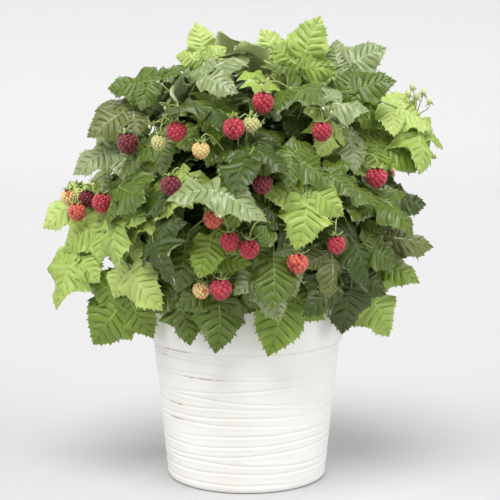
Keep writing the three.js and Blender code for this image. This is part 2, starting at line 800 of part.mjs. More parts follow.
// A part is joined on unless it would hang loose or its join would be too fine to close.
function join(made, ...parts) {
  const whole = parts.reduce((sum, part) => sum.add(part), made);
  const tries = SLIVERS.map((sliver) => whole.simplify(sliver));
  return tries.find((joined) => joined.decompose().length === 1 && closes(joined)) ?? made;
}

function spraySolid({ stems, leaves, berries }) {
  let made = null;
  for (const { curve, from, radii } of stems) {
    const stem = solid(limbGeometry(curve, from, 1, ...radii, STEM_SIDES, STEM_STEPS));
    made = made ? join(made, stem) : stem;
  }
  for (const leaf of leaves) made = join(made, solid(leafGeometry(leaf)));
  for (const berry of berries) {
    const stalk = solid(limbGeometry(berry.twig, 0, 1, FRUIT.stalk * 1.2, FRUIT.stalk, 3, 1));
    made = join(made, stalk, solid(berryGeometry(berry)));
  }
  return made;
}

// ---------------------------------------------------------------- materials and the whole plant

const paint = (color, roughness) => new THREE.MeshStandardMaterial({ color, roughness, metalness: 0 });

const MATERIALS = {
  pot: () => paint(0xf1efe9, 0.45),
  soil: () => paint(0x3a2a1e, 0.95),
  cane: () => paint(0x6b5a36, 0.75),
  mature: () => paint(0x54793a, 0.6),
  young: () => paint(0x86ad48, 0.55),
};

const plant = new THREE.Group();

function addPiece(name, geometry, material) {
  const mesh = new THREE.Mesh(geometry, MATERIALS[material]());
  mesh.name = name;
  plant.add(mesh);
}

addPiece("pot", upright(potGeometry()), "pot");
addPiece("soil", upright(soilGeometry()), "soil");

for (const { name, curve, bare, radii, tone, index } of limbs) {
  addPiece(`cane_${name}`, limbGeometry(curve, 0, bare, ...radii, CANE_SIDES, CANE_STEPS), "cane");
  addPiece(`leaves_${name}`, geometryOf(spraySolid(sprays[index])), tone);
}

export default plant;
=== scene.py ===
"""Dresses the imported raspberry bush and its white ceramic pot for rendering.

The growth rule works in millimetres, as the solids' own rule does, and each mesh is made in metres.
Azimuths are in degrees round the plant: 0 is the front (-Y), 90 is the right (+X).
"""

import math

import bmesh
import bpy
import numpy as np
from mathutils import Matrix, Vector, geometry, noise


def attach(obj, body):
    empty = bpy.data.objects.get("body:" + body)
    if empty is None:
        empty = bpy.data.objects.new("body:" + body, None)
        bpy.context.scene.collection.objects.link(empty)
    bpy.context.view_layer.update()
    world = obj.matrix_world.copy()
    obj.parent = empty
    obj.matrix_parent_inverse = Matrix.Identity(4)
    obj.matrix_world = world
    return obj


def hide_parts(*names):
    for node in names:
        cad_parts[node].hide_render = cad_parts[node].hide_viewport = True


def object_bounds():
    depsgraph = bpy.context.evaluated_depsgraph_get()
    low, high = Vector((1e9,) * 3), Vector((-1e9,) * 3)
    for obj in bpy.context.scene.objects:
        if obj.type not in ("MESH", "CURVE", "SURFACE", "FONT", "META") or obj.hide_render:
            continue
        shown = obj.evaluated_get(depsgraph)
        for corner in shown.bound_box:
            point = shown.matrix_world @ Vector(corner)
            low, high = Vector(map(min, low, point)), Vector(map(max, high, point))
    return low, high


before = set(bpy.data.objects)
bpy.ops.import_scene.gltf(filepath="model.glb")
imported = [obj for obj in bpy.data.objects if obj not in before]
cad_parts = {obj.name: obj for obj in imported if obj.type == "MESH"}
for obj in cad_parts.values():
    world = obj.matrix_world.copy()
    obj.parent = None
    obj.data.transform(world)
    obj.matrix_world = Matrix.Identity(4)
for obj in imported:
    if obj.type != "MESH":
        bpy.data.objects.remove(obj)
cad_box = [list(corner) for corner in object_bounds()]

MM = 0.001
SEED = 20717

# ---- the plant's driving dimensions

GAP = 0.3  # between the solids
SOIL_LEVEL = 180
RIM_RADIUS = 106
POT_HEIGHT = 200
BODY_TOP = 147  # where the pot's tapered wall ends under the rim band
BODY_FOOT, BODY_FLARE = 84, 15  # the wall's radius at the foot, and how much wider it gets

CROWN = {"middle": 285, "radius": 146, "rise": 166, "fall": 150, "lowest": 124}
LEAF = {"length": 62, "width": 50, "side_share": 0.84, "side_turn": 68, "rachis": 12}
FRUIT = {"radius": 10.5, "length": 21}
FRUIT_SCALE = 0.88  # the drawn berries against the solids' own

SPREAD_LEAVES = 58
FILL_LEAVES = 52
FINE_LEAVES = 265
FILL_CHOICES = 12  # places compared before each leaf that fills the crown
GOLDEN = 137.508

# Where the keys of the random draws start: each leaf and each berry has a key of its own.
FILL_KEYS, SHOOT_KEYS, BERRY_KEYS, BEHIND_KEYS, FINE_KEYS, KEY_STEP = 1000, 2000, 3000, 3100, 40000, 40

# name, foot, bare share, tip, middle of its space
CANES = [
    ("crest_left", (-70, 18), 0.68, (-76, 58, 428), (-80, 78, 412)),
    ("crest_right", (65, 18), 0.68, (64, 60, 436), (70, 78, 414)),
    ("crest_back", (180, 20), 0.68, (176, 56, 408), (175, 66, 384)),
    ("front", (-4, 46), 0.3, (-4, 108, 334), (-3, 120, 272)),
    ("front_right", (58, 46), 0.3, (58, 112, 334), (57, 126, 275)),
    ("back_right", (112, 46), 0.3, (112, 112, 334), (111, 124, 275)),
    ("back", (162, 46), 0.3, (162, 108, 330), (162, 120, 275)),
    ("back_left", (-146, 46), 0.3, (-146, 112, 332), (-147, 124, 272)),
    ("front_left", (-62, 46), 0.3, (-63, 112, 330), (-63, 128, 268)),
]
CREST_SIDES = [(0.16, 34, 22, -22), (0.28, -34, 22, -18)]
FLANK_SIDES = [(0.1, 13, 12, -62), (0.16, -13, 12, -56), (0.34, 15, 16, 10), (0.42, -15, 16, 16)]
FAR_SIDES = {"front_left": (0.28, -18, 52, 16), "front_right": (0.5, 22, 50, 92)}

# Shoots at the outline: azimuth, distance and height of the joint, the way its face looks, the turn of
# its tip from hanging straight down, and its size.
SHOOTS = [
    (-77, 46, 440, -10, -170, 0.62), (62, 62, 433, 5, 159, 0.72), (53, 50, 430, -5, -150, 0.8),
    (73, 100, 434, 15, 113, 0.76), (59, 116, 409, 20, 100, 0.72), (75, 150, 396, 25, 62, 0.76),
    (78, 182, 384, 20, 20, 0.9), (68, 150, 361, 30, 60, 0.72), (70, 146, 300, 35, 80, 0.72),
    (70, 142, 262, 35, 74, 0.72), (70, 138, 238, 30, 52, 0.8), (64, 134, 210, 30, 35, 0.8),
    (53, 130, 214, 25, -9, 0.8), (-67, 104, 420, -25, -79, 0.72), (-72, 122, 394, -30, -40, 0.72),
    (-74, 134, 355, -30, -50, 0.72), (-76, 172, 306, -15, -60, 0.8), (-67, 164, 280, -35, -60, 0.76),
    (-75, 176, 246, -25, -46, 0.82), (-62, 130, 208, -28, -12, 0.92), (-34, 125, 219, -30, -6, 0.76),
    (-13, 124, 222, -10, 4, 0.84), (7, 130, 240, 4, -10, 0.68), (19, 124, 220, 12, 4, 0.8),
    (44, 124, 222, 38, 6, 0.74),
]
# Two more, at the front and the back, that reach out furthest of all.
REACHING = [(-10, 164, 334, -10, -6, 0.86), (178, 172, 322, 178, 4, 0.86)]
REACHING_LEAN = 40
SHOOT_SLOPE = 0.3
HANGING = 230  # below this height a shoot slopes down

# Berries: azimuth, distance, height and ripeness. Leaves may hang in front of a shaded one.
BERRIES = [
    (8, 116, 401, "red"), (-5, 133, 377, "red"), (-30, 135, 373, "red"), (33, 135, 373, "red"),
    (58, 153, 325, "red"), (-28, 154, 322, "dark"), (-69, 157, 297, "red"), (-78, 168, 299, "dark"),
    (-74, 180, 287, "orange"), (-80, 186, 300, "yellow"), (-6, 153, 270, "red"), (1, 152, 263, "red"),
    (19, 152, 248, "orange"), (34, 156, 264, "red"), (-10, 142, 222, "red"), (-18, 141, 220, "yellow"),
    (-37, 141, 362, "green"), (-18, 141, 356, "yellow"), (2, 131, 381, "green"), (6, 148, 325, "dark"),
    (-12, 152, 291, "orange"), (-76, 150, 200, "shaded"), (-56, 142, 359, "dark"),
]
BERRIES_BEHIND, BEHIND_FROM, BEHIND_SPAN = 10, 88, 190  # how many, and the azimuths that they spread over
BEHIND_POLAR, BEHIND_SHARE = (50, 112), 1.08
SIGHT_WAY = np.array([0.0, -150.0, 19.5])  # from a berry towards the front: leaves keep clear of it
SIGHT_OFFSETS = [(-0.9, 0), (0.9, 0), (0, 0.9), (0, -1.0), (-0.5, 0.4), (0.5, -0.4)]

# Places in front of the lime shoot at the top left, that no other leaf may hide.
SEEN = [(-56, 56, 452), (-61, 65, 445), (-49, 48, 449), (-59, 60, 462), (-66, 70, 452), (-45, 52, 458)]

# Hollows in the crown where one looks in between the leaves: azimuth, height and radius.
HOLLOWS = [
    (-24, 296, 22), (8, 258, 20), (34, 307, 20), (6, 338, 20), (43, 218, 20), (-50, 330, 18), (84, 330, 20),
    (104, 268, 20), (140, 310, 22), (172, 262, 20), (-150, 318, 22), (-118, 262, 20), (-96, 322, 18),
]
HOLLOW_DISTANCE = 138
INSIDE = 112  # leaves nearer to the pot's axis than this stay, however near they are to a hollow

# Flower buds on the long spray at the right: azimuth, distance and height.
SPRAY_SHOOT = 6  # the shoot that they stand by
BUDS = [(80, 160, 397), (80, 168, 407), (81, 177, 404), (79, 184, 409), (78, 190, 400), (81, 172, 414)]

# How leaves vary, each evenly between two limits. Away from the shoots they vary more.
VARY = {
    "swing": (-35, 35),
    "lean": (14, 40),
    "tilt": (-0.4, 0.4),
    "size": (0.86, 1.14),
    "spread": (-7, 7),
    "arch": (0.1, 0.3),
    "cup": (0.12, 0.42),
    "depth": (0.94, 1.06),
}
WILDER = {
    **VARY,
    "swing": (-48, 48),
    "lean": (4, 46),
    "tilt": (-0.6, 0.6),
    "arch": (0.05, 0.42),
    "cup": (0.1, 0.6),
}
LIGHTWARD = 0.35  # how far a leaf's face turns up to the light
UPRIGHT_ABOVE, UPRIGHT_SHARE = 50, 0.35  # degrees from the crown's top, and how many leaves there stand up
YOUNG, YOUNG_SIZE = ("crest_left", "crest_right"), 0.88
BROAD = 1.08  # an end leaflet's breadth against the side ones'
SMALLER = 0.8  # leaves against the solids' own, which are larger than life

UP = np.array([0.0, 0.0, 1.0])


# ---- small tools


def draw(*keys):
    """A number from 0 to 1 that depends only on its keys."""
    h = SEED
    for key in keys:
        h = ((h ^ key) * 0x9E3779B1) & 0xFFFFFFFF
        h ^= h >> 15
        h = (h * 0x85EBCA6B) & 0xFFFFFFFF
        h ^= h >> 13
    return h / 2**32


def vary(limits, *keys):
    return limits[0] + (limits[1] - limits[0]) * draw(*keys)


def unit(v):
    return v / np.linalg.norm(v)


def at(azimuth, distance, height):
    a = math.radians(azimuth)
    return np.array([distance * math.sin(a), -distance * math.cos(a), height])


def turned(v, axis, angle):
    """v turned about a unit axis."""
    return (
        v * math.cos(angle)
        + np.cross(axis, v) * math.sin(angle)
        + axis * axis.dot(v) * (1 - math.cos(angle))
    )


class Bend:
    """A cubic curve, read by the share of its length."""

    STEPS = np.linspace(0, 1, 201)

    def __init__(self, *corners):
        self.corners = np.array(corners, float)
        line = self.place(self.STEPS)
        self.lengths = np.concatenate([[0], np.cumsum(np.linalg.norm(np.diff(line, axis=0), axis=1))])
        self.length = self.lengths[-1]

    def place(self, t):
        t = np.atleast_1d(t)[:, None]
        a, b, c, d = self.corners
        return a * (1 - t) ** 3 + b * 3 * t * (1 - t) ** 2 + c * 3 * t * t * (1 - t) + d * t**3

    def along(self, shares):
        return self.place(np.interp(np.asarray(shares) * self.length, self.lengths, self.STEPS))


# ---- canes, stems and spaces


def cane_curve(foot, tip):
    """A cane rises steeply at first, and then leans out to its tip."""
    start = at(*foot, SOIL_LEVEL + GAP)
    end = at(*tip)
    rise = end[2] - start[2]
    upper = start + (end - start) * 0.55
    upper[2] = start[2] + rise * 0.72
    return Bend(start, start + UP * rise * 0.35, upper, end)


def arching(start, end):
    """A side stem, that rises above both of its ends."""
    span = math.hypot(end[0] - start[0], end[1] - start[1])
    crest = max(start[2], end[2]) + span * 0.2
    first = start + (end - start) * 0.3
    first[2] = start[2] + (crest - start[2]) * 0.8
    second = start + (end - start) * 0.75
    second[2] = crest
    return Bend(start, first, second, end)


MIDDLES = np.array([at(*cane[4]) for cane in CANES])
SIDE_DEPTH = 3  # a side stem stays this deep in its mass's space
STEM_STEPS = 4
CANE_POINTS = 9


def depth_in_space(index, point):
    """How deep a point lies in the space nearer to a mass's middle than to any other."""
    ways = np.delete(MIDDLES, index, 0) - MIDDLES[index]
    reach = np.linalg.norm(ways, axis=1)
    return (reach / 2 - ways @ (point - MIDDLES[index]) / reach).min()


def nearest_middle(point):
    return int(np.linalg.norm(MIDDLES - point, axis=1).argmin())


def stems_of(index):
    """A mass's main stem and side stems: each a curve, where it starts, and five points along it."""
    name, foot, bare, tip, middle = CANES[index]
    curve = cane_curve(foot, tip)
    shares = bare + GAP / curve.length + (1 - bare) * np.linspace(0, 1, STEM_STEPS + 1)
    main = curve.along(np.minimum(shares, 1))
    stems = [(curve, shares[0], main)]
    sides = CREST_SIDES if name.startswith("crest") else FLANK_SIDES
    for share, turn, out, up in sides + ([FAR_SIDES[name]] if name in FAR_SIDES else []):
        step = int(share * STEM_STEPS)
        start = main[step] + (main[step + 1] - main[step]) * (share * STEM_STEPS - step)
        end = at(middle[0] + turn, middle[1] + out, middle[2] + up)
        line = arching(start, end).along(np.linspace(0, 1, STEM_STEPS + 1))
        while any(depth_in_space(index, point) < SIDE_DEPTH for point in line[1:]):
            end = end + (start - end) * 0.1
            line = arching(start, end).along(np.linspace(0, 1, STEM_STEPS + 1))
        stems.append((arching(start, end), 0, line))
    return stems


STEMS = [stems_of(index) for index in range(len(CANES))]
CANE_CURVES = [cane_curve(cane[1], cane[3]) for cane in CANES]
CANE_LINES = [
    curve.along(np.linspace(0, cane[2], CANE_POINTS)) for curve, cane in zip(CANE_CURVES, CANES)
]


# ---- the crown's skin


def facing(place, azimuth, slope):
    """A place with the ways out of the crown, round it and down it."""
    out = at(azimuth, math.cos(slope), math.sin(slope))
    around = at(azimuth + 90, 1, 0)
    return {"place": place, "out": out, "round": around, "down": np.cross(around, out)}


def skin(polar, azimuth, share):
    """A place on the crown's skin, or inside it by a share, by angles from its top and its front."""
    p = math.radians(polar)
    height = CROWN["rise"] if polar < 90 else CROWN["fall"]
    radius = CROWN["radius"] * math.sin(p) * share
    place = at(azimuth, radius, CROWN["middle"] + height * math.cos(p) * (share if polar < 90 else 1))
    return facing(place, azimuth, math.atan2(math.cos(p) * CROWN["radius"], math.sin(p) * height))


# ---- a leaf's plan

WIDEST = 0.36
MIDDLE = 0.42


def outline(s):
    """Half of the blade's width at a share of its length, where 1 is the widest."""
    return s**0.56 * (1 - s) / (WIDEST**0.56 * (1 - WIDEST))


# What a leaf tries, one after the other, until it fits: its size, how far it sinks in, how far it shifts
# towards its mass's middle, and how far it turns.
SHIFTS = [(0, 0), (0, -28), (0, 28), (14, 0), (14, -50), (14, 50), (30, 0), (30, -75), (30, 75)]
TRIES = [
    (size, sink, shift, turn)
    for size in (1, 0.85, 0.7)
    for sink in (0, 14, -12, 28)
    for shift, turn in SHIFTS
]
SHOOT_TRIES = [t for t in TRIES if t[2] < 20 and abs(t[3]) < 30]
FINE_TRIES = [t for t in TRIES if t[:2] in ((1, 0), (1, 28), (0.7, 0))]


def leaf_at(spot, size, sink, shift, turn):
    """A leaf of three leaflets at a spot: role 0 is the end leaflet, -1 and 1 are the side ones."""
    key = spot["key"]
    limits = VARY if "shoot" in spot else WILDER
    inwards = MIDDLES[spot["index"]] - spot["place"]
    inwards = inwards - spot["out"] * inwards.dot(spot["out"])
    joint = spot["place"] - spot["out"] * sink
    if np.linalg.norm(inwards) > 1:
        joint = joint + unit(inwards) * shift
    swing = math.radians(spot.get("swing", vary(limits["swing"], key, 1)) + turn)
    lean = math.radians(spot.get("lean", vary(limits["lean"], key, 2)))
    down = -spot["down"] if spot["upright"] else spot["down"]
    flat = down * math.cos(swing) + spot["round"] * math.sin(swing)
    along = unit(flat * math.cos(lean) + spot["out"] * math.sin(lean))
    face = spot["out"] + UP * LIGHTWARD + spot["round"] * vary(limits["tilt"], key, 3)
    face = unit(face - along * face.dot(along))
    scale = size * vary(limits["size"], key, 4) * spot["size"]
    spread = math.radians(LEAF["side_turn"] + vary(limits["spread"], key, 5))
    leaflets = []
    for role in (0, -1, 1):
        share = LEAF["side_share"] if role else 1
        way = turned(along, face, -role * spread)
        leaflets.append(
            {
                "role": role,
                "base": joint + along * (0 if role else LEAF["rachis"] * scale),
                "along": way,
                "face": face,
                "side": np.cross(way, face),
                "length": LEAF["length"] * scale * share,
                "width": LEAF["width"] * scale * share * (1 if role else BROAD),
                "arch": vary(limits["arch"], key, 6 + role),
                "cup": vary(limits["cup"], key, 9 + role),
                "key": key * 3 + role,
            }
        )
    return {"joint": joint, "along": along, "face": face, "leaflets": leaflets, "scale": scale, "key": key}


def blade_point(leaflet, s, t):
    """A point of the plain blade by which leaves are fitted: s runs along it, and t across it."""
    half = leaflet["width"] / 2 * outline(s)
    lift = -leaflet["arch"] * leaflet["length"] * s * s - leaflet["cup"] * half * t * t
    return (
        leaflet["base"]
        + leaflet["along"] * leaflet["length"] * s
        + leaflet["side"] * half * t
        + leaflet["face"] * lift
    )


def frame_of(leaflet):
    """A blade's four main faces and their edges, by which crossings are found."""
    base, tip = blade_point(leaflet, 0.0, 0), blade_point(leaflet, 1.0, 0)
    right, left = blade_point(leaflet, WIDEST, 1.1), blade_point(leaflet, WIDEST, -1.1)
    middle = blade_point(leaflet, MIDDLE, 0)
    rim = [base, right, tip, left]
    faces = [[p, rim[(i + 1) % 4], middle] for i, p in enumerate(rim)]
    edges = [[p, rim[(i + 1) % 4]] for i, p in enumerate(rim)]
    edges += [[base, middle], [middle, tip], [right, middle], [middle, left]]
    return np.array(faces), np.array(edges), middle


def crossing(stretches, triangles):
    """Whether any straight stretch goes through any triangle."""
    if not len(stretches) or not len(triangles):
        return False
    ways = stretches[:, 1] - stretches[:, 0]
    one, two = triangles[:, 1] - triangles[:, 0], triangles[:, 2] - triangles[:, 0]
    normals = np.cross(one, two)
    lean = -(ways @ normals.T)
    lean[np.abs(lean) < 1e-9] = 1e-9
    back = stretches[:, 0][:, None] - triangles[:, 0][None]
    swept = np.cross(back, ways[:, None])
    u = (swept * two).sum(-1) / lean
    v = -(swept * one).sum(-1) / lean
    t = (back * normals).sum(-1) / lean
    return bool(((u >= 0) & (v >= 0) & (u + v <= 1) & (t > 0) & (t < 1)).any())


# ---- growing the crown


BOX = np.array(cad_box) / MM
BOX_ROOM = 2  # leaves may stand this far past the solids' box
CANE_ROOM = 8
RIM_ROOM = (5, 6)  # beside the rim and above it
LATE_TRY = 0.002  # what each later try costs a leaf
FILL_LOWEST = 184  # only the shoots hang lower, over the pot's rim
HOLLOW_PLACES = np.array([at(azimuth, HOLLOW_DISTANCE, height) for azimuth, height, _ in HOLLOWS])
HOLLOW_RADII = np.array([radius for _, _, radius in HOLLOWS])
EDGE_POINTS = [(0.2, 1), (0.6, 1), (1.0, 0), (0.6, -1), (0.2, -1), (MIDDLE, 0)]


class Crown:
    """What has grown so far, and the tests that a new leaf has to pass."""

    NEAR = 75  # leaves further off can't cross
    BUDS_ON_STEM = 26
    LOAD_COST, OTHER_MASS_COST = 9, 400  # added to a bud's distance for each twig, and in another mass
    BERRY_NEAR, BERRY_ROOM = 60, 1.08

    def __init__(self):
        self.leaves = []
        self.berries = []
        self.faces = np.zeros((0, 4, 3, 3))
        self.edges = np.zeros((0, 8, 2, 3))
        self.centres = np.zeros((0, 3))
        self.sights = []
        lines = [line for stems in STEMS for _, _, line in stems] + CANE_LINES
        self.limbs = np.array([[a, b] for line in lines for a, b in zip(line, line[1:])])
        self.cane_parts = np.array([[a, b] for line in CANE_LINES for a, b in zip(line, line[1:])])
        self.buds = []
        for index, stems in enumerate(STEMS):
            for _, _, line in stems:
                for share in np.linspace(0.04, 1, self.BUDS_ON_STEM):
                    step = min(STEM_STEPS - 1, int(share * STEM_STEPS))
                    way = line[step + 1] - line[step]
                    self.buds.append((index, line[step] + way * (share * STEM_STEPS - step), unit(way)))
        self.bud_owner = np.array([bud[0] for bud in self.buds])
        self.bud_points = np.array([bud[1] for bud in self.buds])
        self.bud_ways = np.array([bud[2] for bud in self.buds])
        self.bud_load = np.zeros(len(self.buds))

    def bud_for(self, index, place):
        """The bud for a twig to a place: near it, little used, with the twig slanting forwards."""
        ways = place - self.bud_points
        reach = np.linalg.norm(ways, axis=1)
        slant = (ways * self.bud_ways).sum(1) / np.maximum(reach, 1)
        cost = reach * (1.4 - 0.4 * slant) + self.LOAD_COST * self.bud_load
        return int((cost + self.OTHER_MASS_COST * (self.bud_owner != index)).argmin())

    def near_canes(self, points):
        starts, ways = self.cane_parts[:, 0], self.cane_parts[:, 1] - self.cane_parts[:, 0]
        off = points[:, None] - starts
        t = np.clip((off * ways).sum(-1) / (ways * ways).sum(-1), 0, 1)
        away = off - t[..., None] * ways
        return (away * away).sum(-1).min() < CANE_ROOM**2

    def fits(self, leaflet, lowest):
        """Whether a leaflet is clear of everything. The shoots have no lowest height."""
        points = np.array([blade_point(leaflet, s, t) for s, t in EDGE_POINTS])
        inside = np.hypot(points[:, 0], points[:, 1]) < RIM_RADIUS + RIM_ROOM[0]
        if (inside & (points[:, 2] < POT_HEIGHT + RIM_ROOM[1])).any():
            return False
        if (points < BOX[0] - BOX_ROOM).any() or (points > BOX[1] + BOX_ROOM).any():
            return False
        if points[:, 2].min() < lowest:
            return False
        if self.near_canes(points):
            return False
        faces, edges, middle = frame_of(leaflet)
        if lowest and math.hypot(middle[0], middle[1]) > INSIDE:
            if (np.linalg.norm(HOLLOW_PLACES - middle, axis=1) < HOLLOW_RADII).any():
                return False
        if crossing(np.concatenate([self.limbs, self.sight_lines]), faces):
            return False
        near = np.linalg.norm(self.centres - middle, axis=1) < self.NEAR
        if crossing(edges, self.faces[near].reshape(-1, 3, 3)):
            return False
        if crossing(self.edges[near].reshape(-1, 2, 3), faces):
            return False
        for berry in self.berries:
            if np.linalg.norm(berry["place"] - middle) > self.BERRY_NEAR:
                continue
            place = Vector(berry["place"])
            for face in faces:
                nearest = geometry.closest_point_on_tri(place, *map(Vector, face))
                if (nearest - place).length < FRUIT["radius"] * berry["size"] * self.BERRY_ROOM:
                    return False
        return True

    def grow_leaf(self, spot, tries):
        """Grows the best of a leaf's tries, with those of its leaflets that fit."""
        best = None
        lowest = 0 if "shoot" in spot else FILL_LOWEST
        for order, attempt in enumerate(tries):
            leaf = leaf_at(spot, *attempt)
            leaf["leaflets"] = [l for l in leaf["leaflets"] if self.fits(l, lowest)]
            score = sum(l["length"] * l["width"] for l in leaf["leaflets"]) * (1 - order * LATE_TRY)
            if leaf["leaflets"] and (best is None or score > best["score"]):
                best = {**leaf, "score": score}
            if len(leaf["leaflets"]) == 3:
                break
        if best is None:
            return
        frames = [frame_of(l) for l in best["leaflets"]]
        self.faces = np.concatenate([self.faces, [f[0] for f in frames]])
        self.edges = np.concatenate([self.edges, [f[1] for f in frames]])
        self.centres = np.concatenate([self.centres, [f[2] for f in frames]])
        best["bud"] = self.bud_for(spot["index"], best["joint"])
        self.bud_load[best["bud"]] += 1
        best["index"] = spot["index"]
        best["share"] = spot.get("share", 1.0)
        best["shoot"] = spot.get("shoot")
        self.leaves.append(best)

    def grow_berry(self, place, key, ripeness):
        index = nearest_middle(place)
        size = 0.9 + 0.2 * draw(key, 3)
        bud = self.bud_for(index, place)
        self.bud_load[bud] += 1
        self.berries.append({"place": place, "size": size, "bud": bud, "ripeness": ripeness, "key": key})
        if ripeness not in (None, "shaded"):
            for aside, up in SIGHT_OFFSETS:
                start = place + np.array([aside, 0, up]) * FRUIT["radius"]
                self.sights.append([start, start + SIGHT_WAY])

    def openness(self, place):
        return np.linalg.norm(self.centres - place, axis=1).min()


def spot_at(cosine, azimuth, share, key, scale=1.0):
    """Where a leaf that isn't a shoot may grow, with its own small changes."""
    polar = math.degrees(math.acos(cosine))
    index = nearest_middle(skin(polar, azimuth, share)["place"])
    depth = share * vary(VARY["depth"], key, 21)
    size = (YOUNG_SIZE if CANES[index][0] in YOUNG else 1) * SMALLER * scale
    upright = polar < UPRIGHT_ABOVE and draw(key, 22) < UPRIGHT_SHARE
    return {
        **skin(polar, azimuth, depth),
        "index": index,
        "key": key,
        "size": size,
        "upright": upright,
        "share": share,
    }


def grow():
    crown = Crown()
    for i, (azimuth, distance, height, ripeness) in enumerate(BERRIES):
        crown.grow_berry(at(azimuth, distance, height), BERRY_KEYS + i, ripeness)
    crown.sights += [[at(*place), at(*place) + SIGHT_WAY] for place in SEEN]
    crown.sight_lines = np.array(crown.sights)
    for i in range(BERRIES_BEHIND):
        key = BEHIND_KEYS + i
        azimuth = BEHIND_FROM + BEHIND_SPAN * (i + 0.5) / BERRIES_BEHIND + 8 * draw(key, 1)
        place = skin(vary(BEHIND_POLAR, key, 2), azimuth, BEHIND_SHARE)["place"]
        crown.grow_berry(place, key, None)

    for i, (azimuth, distance, height, face, swing, size) in enumerate(SHOOTS + REACHING):
        place = at(azimuth, distance, height)
        slope = -SHOOT_SLOPE if height < HANGING else SHOOT_SLOPE
        spot = {**facing(place, face, slope), "index": nearest_middle(place), "key": SHOOT_KEYS + i}
        spot |= {"size": size, "swing": swing, "upright": False, "shoot": i}
        if i >= len(SHOOTS):
            spot["lean"] = REACHING_LEAN
        crown.grow_leaf(spot, SHOOT_TRIES)

    # Evenly spread leaves first, then more wherever there is the most room.
    lowest = math.cos(math.radians(CROWN["lowest"]))
    for i in range(SPREAD_LEAVES):
        cosine = 1 - (i + 0.5) / SPREAD_LEAVES * (1 - lowest)
        crown.grow_leaf(spot_at(cosine, i * GOLDEN + 12 * (draw(i, 20) - 0.5), 1, i), TRIES)

    def most_open(first, scale, low):
        """Of a few places from the share low outwards, the one that has the most room."""
        options = []
        for j in range(FILL_CHOICES):
            key = first + j
            cosine = 1 - draw(key, 30) * (1 - lowest)
            share = low + (1 - low) * draw(key, 32)
            options.append(spot_at(cosine, 360 * draw(key, 31), share, key, scale))
        return max(options, key=lambda spot: crown.openness(spot["place"]))

    for i in range(FILL_LEAVES):
        crown.grow_leaf(most_open(FILL_KEYS + KEY_STEP * i, 1.0, 0.7), TRIES)
    for i in range(FINE_LEAVES):
        crown.grow_leaf(most_open(FINE_KEYS + KEY_STEP * i, 0.78 + 0.2 * draw(i, 60), 0.6), FINE_TRIES)
    return crown


# ---- meshes from arrays


class Heap:
    """Many small shapes that become one mesh."""

    def __init__(self):
        self.points, self.faces, self.slots, self.creases = [], [], [], []
        self.count = 0

    def add(self, points, faces, slots, creases=None):
        self.points.append(points)
        self.faces.append(faces + self.count)
        self.slots.append(np.broadcast_to(slots, len(faces)))
        if creases is not None:
            self.creases.append(creases + self.count)
        self.count += len(points)

    def build(self, name, finishes):
        points = np.concatenate(self.points) * MM
        faces = np.concatenate(self.faces).astype(np.int32)
        mesh = bpy.data.meshes.new(name)
        mesh.vertices.add(len(points))
        mesh.vertices.foreach_set("co", points.astype(np.float32).ravel())
        mesh.loops.add(faces.size)
        mesh.loops.foreach_set("vertex_index", faces.ravel())
        mesh.polygons.add(len(faces))
        mesh.polygons.foreach_set("loop_start", np.arange(0, faces.size, 3, dtype=np.int32))
        mesh.polygons.foreach_set("material_index", np.concatenate(self.slots).astype(np.int32))
        mesh.update(calc_edges=True)
        for finish in finishes:
            mesh.materials.append(finish)
        mesh.shade_smooth()
        if self.creases:
            self.crease(mesh)
        piece = bpy.data.objects.new(name, mesh)
        bpy.context.scene.collection.objects.link(piece)
        return piece

    def crease(self, mesh):
        """Marks the creases as sharp edges, so that the surface breaks there."""
        edges = np.empty(2 * len(mesh.edges), np.int32)
        mesh.edges.foreach_get("vertices", edges)
        edges = np.sort(edges.reshape(-1, 2), axis=1).astype(np.int64)
        wanted = np.sort(np.concatenate(self.creases), axis=1).astype(np.int64)
        sharp = np.isin(edges @ [self.count, 1], wanted @ [self.count, 1])
        mesh.attributes.new("sharp_edge", "BOOLEAN", "EDGE").data.foreach_set("value", sharp)


def tube(line, radii, sides):
    """A round tube along a line of points, closed at both ends."""
    line = np.asarray(line)
    ways = np.gradient(line, axis=0)
    ways /= np.linalg.norm(ways, axis=1)[:, None]
    across = np.cross([1.0, 0.0, 0.0] if abs(ways[0][2]) > 0.9 else UP, ways[0])
    points = []
    for place, way, radius in zip(line, ways, radii):
        across = unit(across - way * across.dot(way))
        over = np.cross(way, across)
        turns = np.arange(sides) * 2 * math.pi / sides
        points.append(place + radius * (np.cos(turns)[:, None] * across + np.sin(turns)[:, None] * over))
    faces = []
    for i in range(len(line) - 1):
        for k in range(sides):
            a, b = i * sides + k, i * sides + (k + 1) % sides
            faces += [[a, b, b + sides], [a, b + sides, a + sides]]
    last = (len(line) - 1) * sides
    for k in range(1, sides - 1):
        faces += [[0, k + 1, k], [last, last + k, last + k + 1]]
    return np.concatenate(points), np.array(faces)


# ---- a leaflet's blade

VEINS = 7  # on each side of the midrib
PLACES = (0, 0.1, 0.5, 0.9)  # rows of points from one vein to the next
HEIGHTS = (-1.0, -0.5, 1.0, -0.5)
STEPS = len(PLACES)
ROWS = STEPS * VEINS + 1
ACROSS = (0.024, 0.28, 0.6, 0.85)
UNDER_LEVELS = (0, 2, 3)  # the ones of these that the plainer underside keeps
TOOTH = 0.062
TEETH = (1.3, -0.7, 0.1, -0.5, 0.5, -0.6, 0.0, 0.5)  # from one vein's tooth to the next
THICK = 1.3  # in the middle of the blade, which thins out to its margin
RELIEF = 0.031  # height of the quilting, as a share of the blade's length
CRINKLE = 1.5
BASE_DIP, DIP_AT = 0.13, 0.06
LOBED_SHARE = 0.6  # of the end leaflets
WAVE, TWIST, CURL, SKEW = 0.34, 0.9, 0.14, 0.14  # how far leaflets bend in their own ways


def vein_root(u):
    return 0.02 + 0.96 * u**1.3


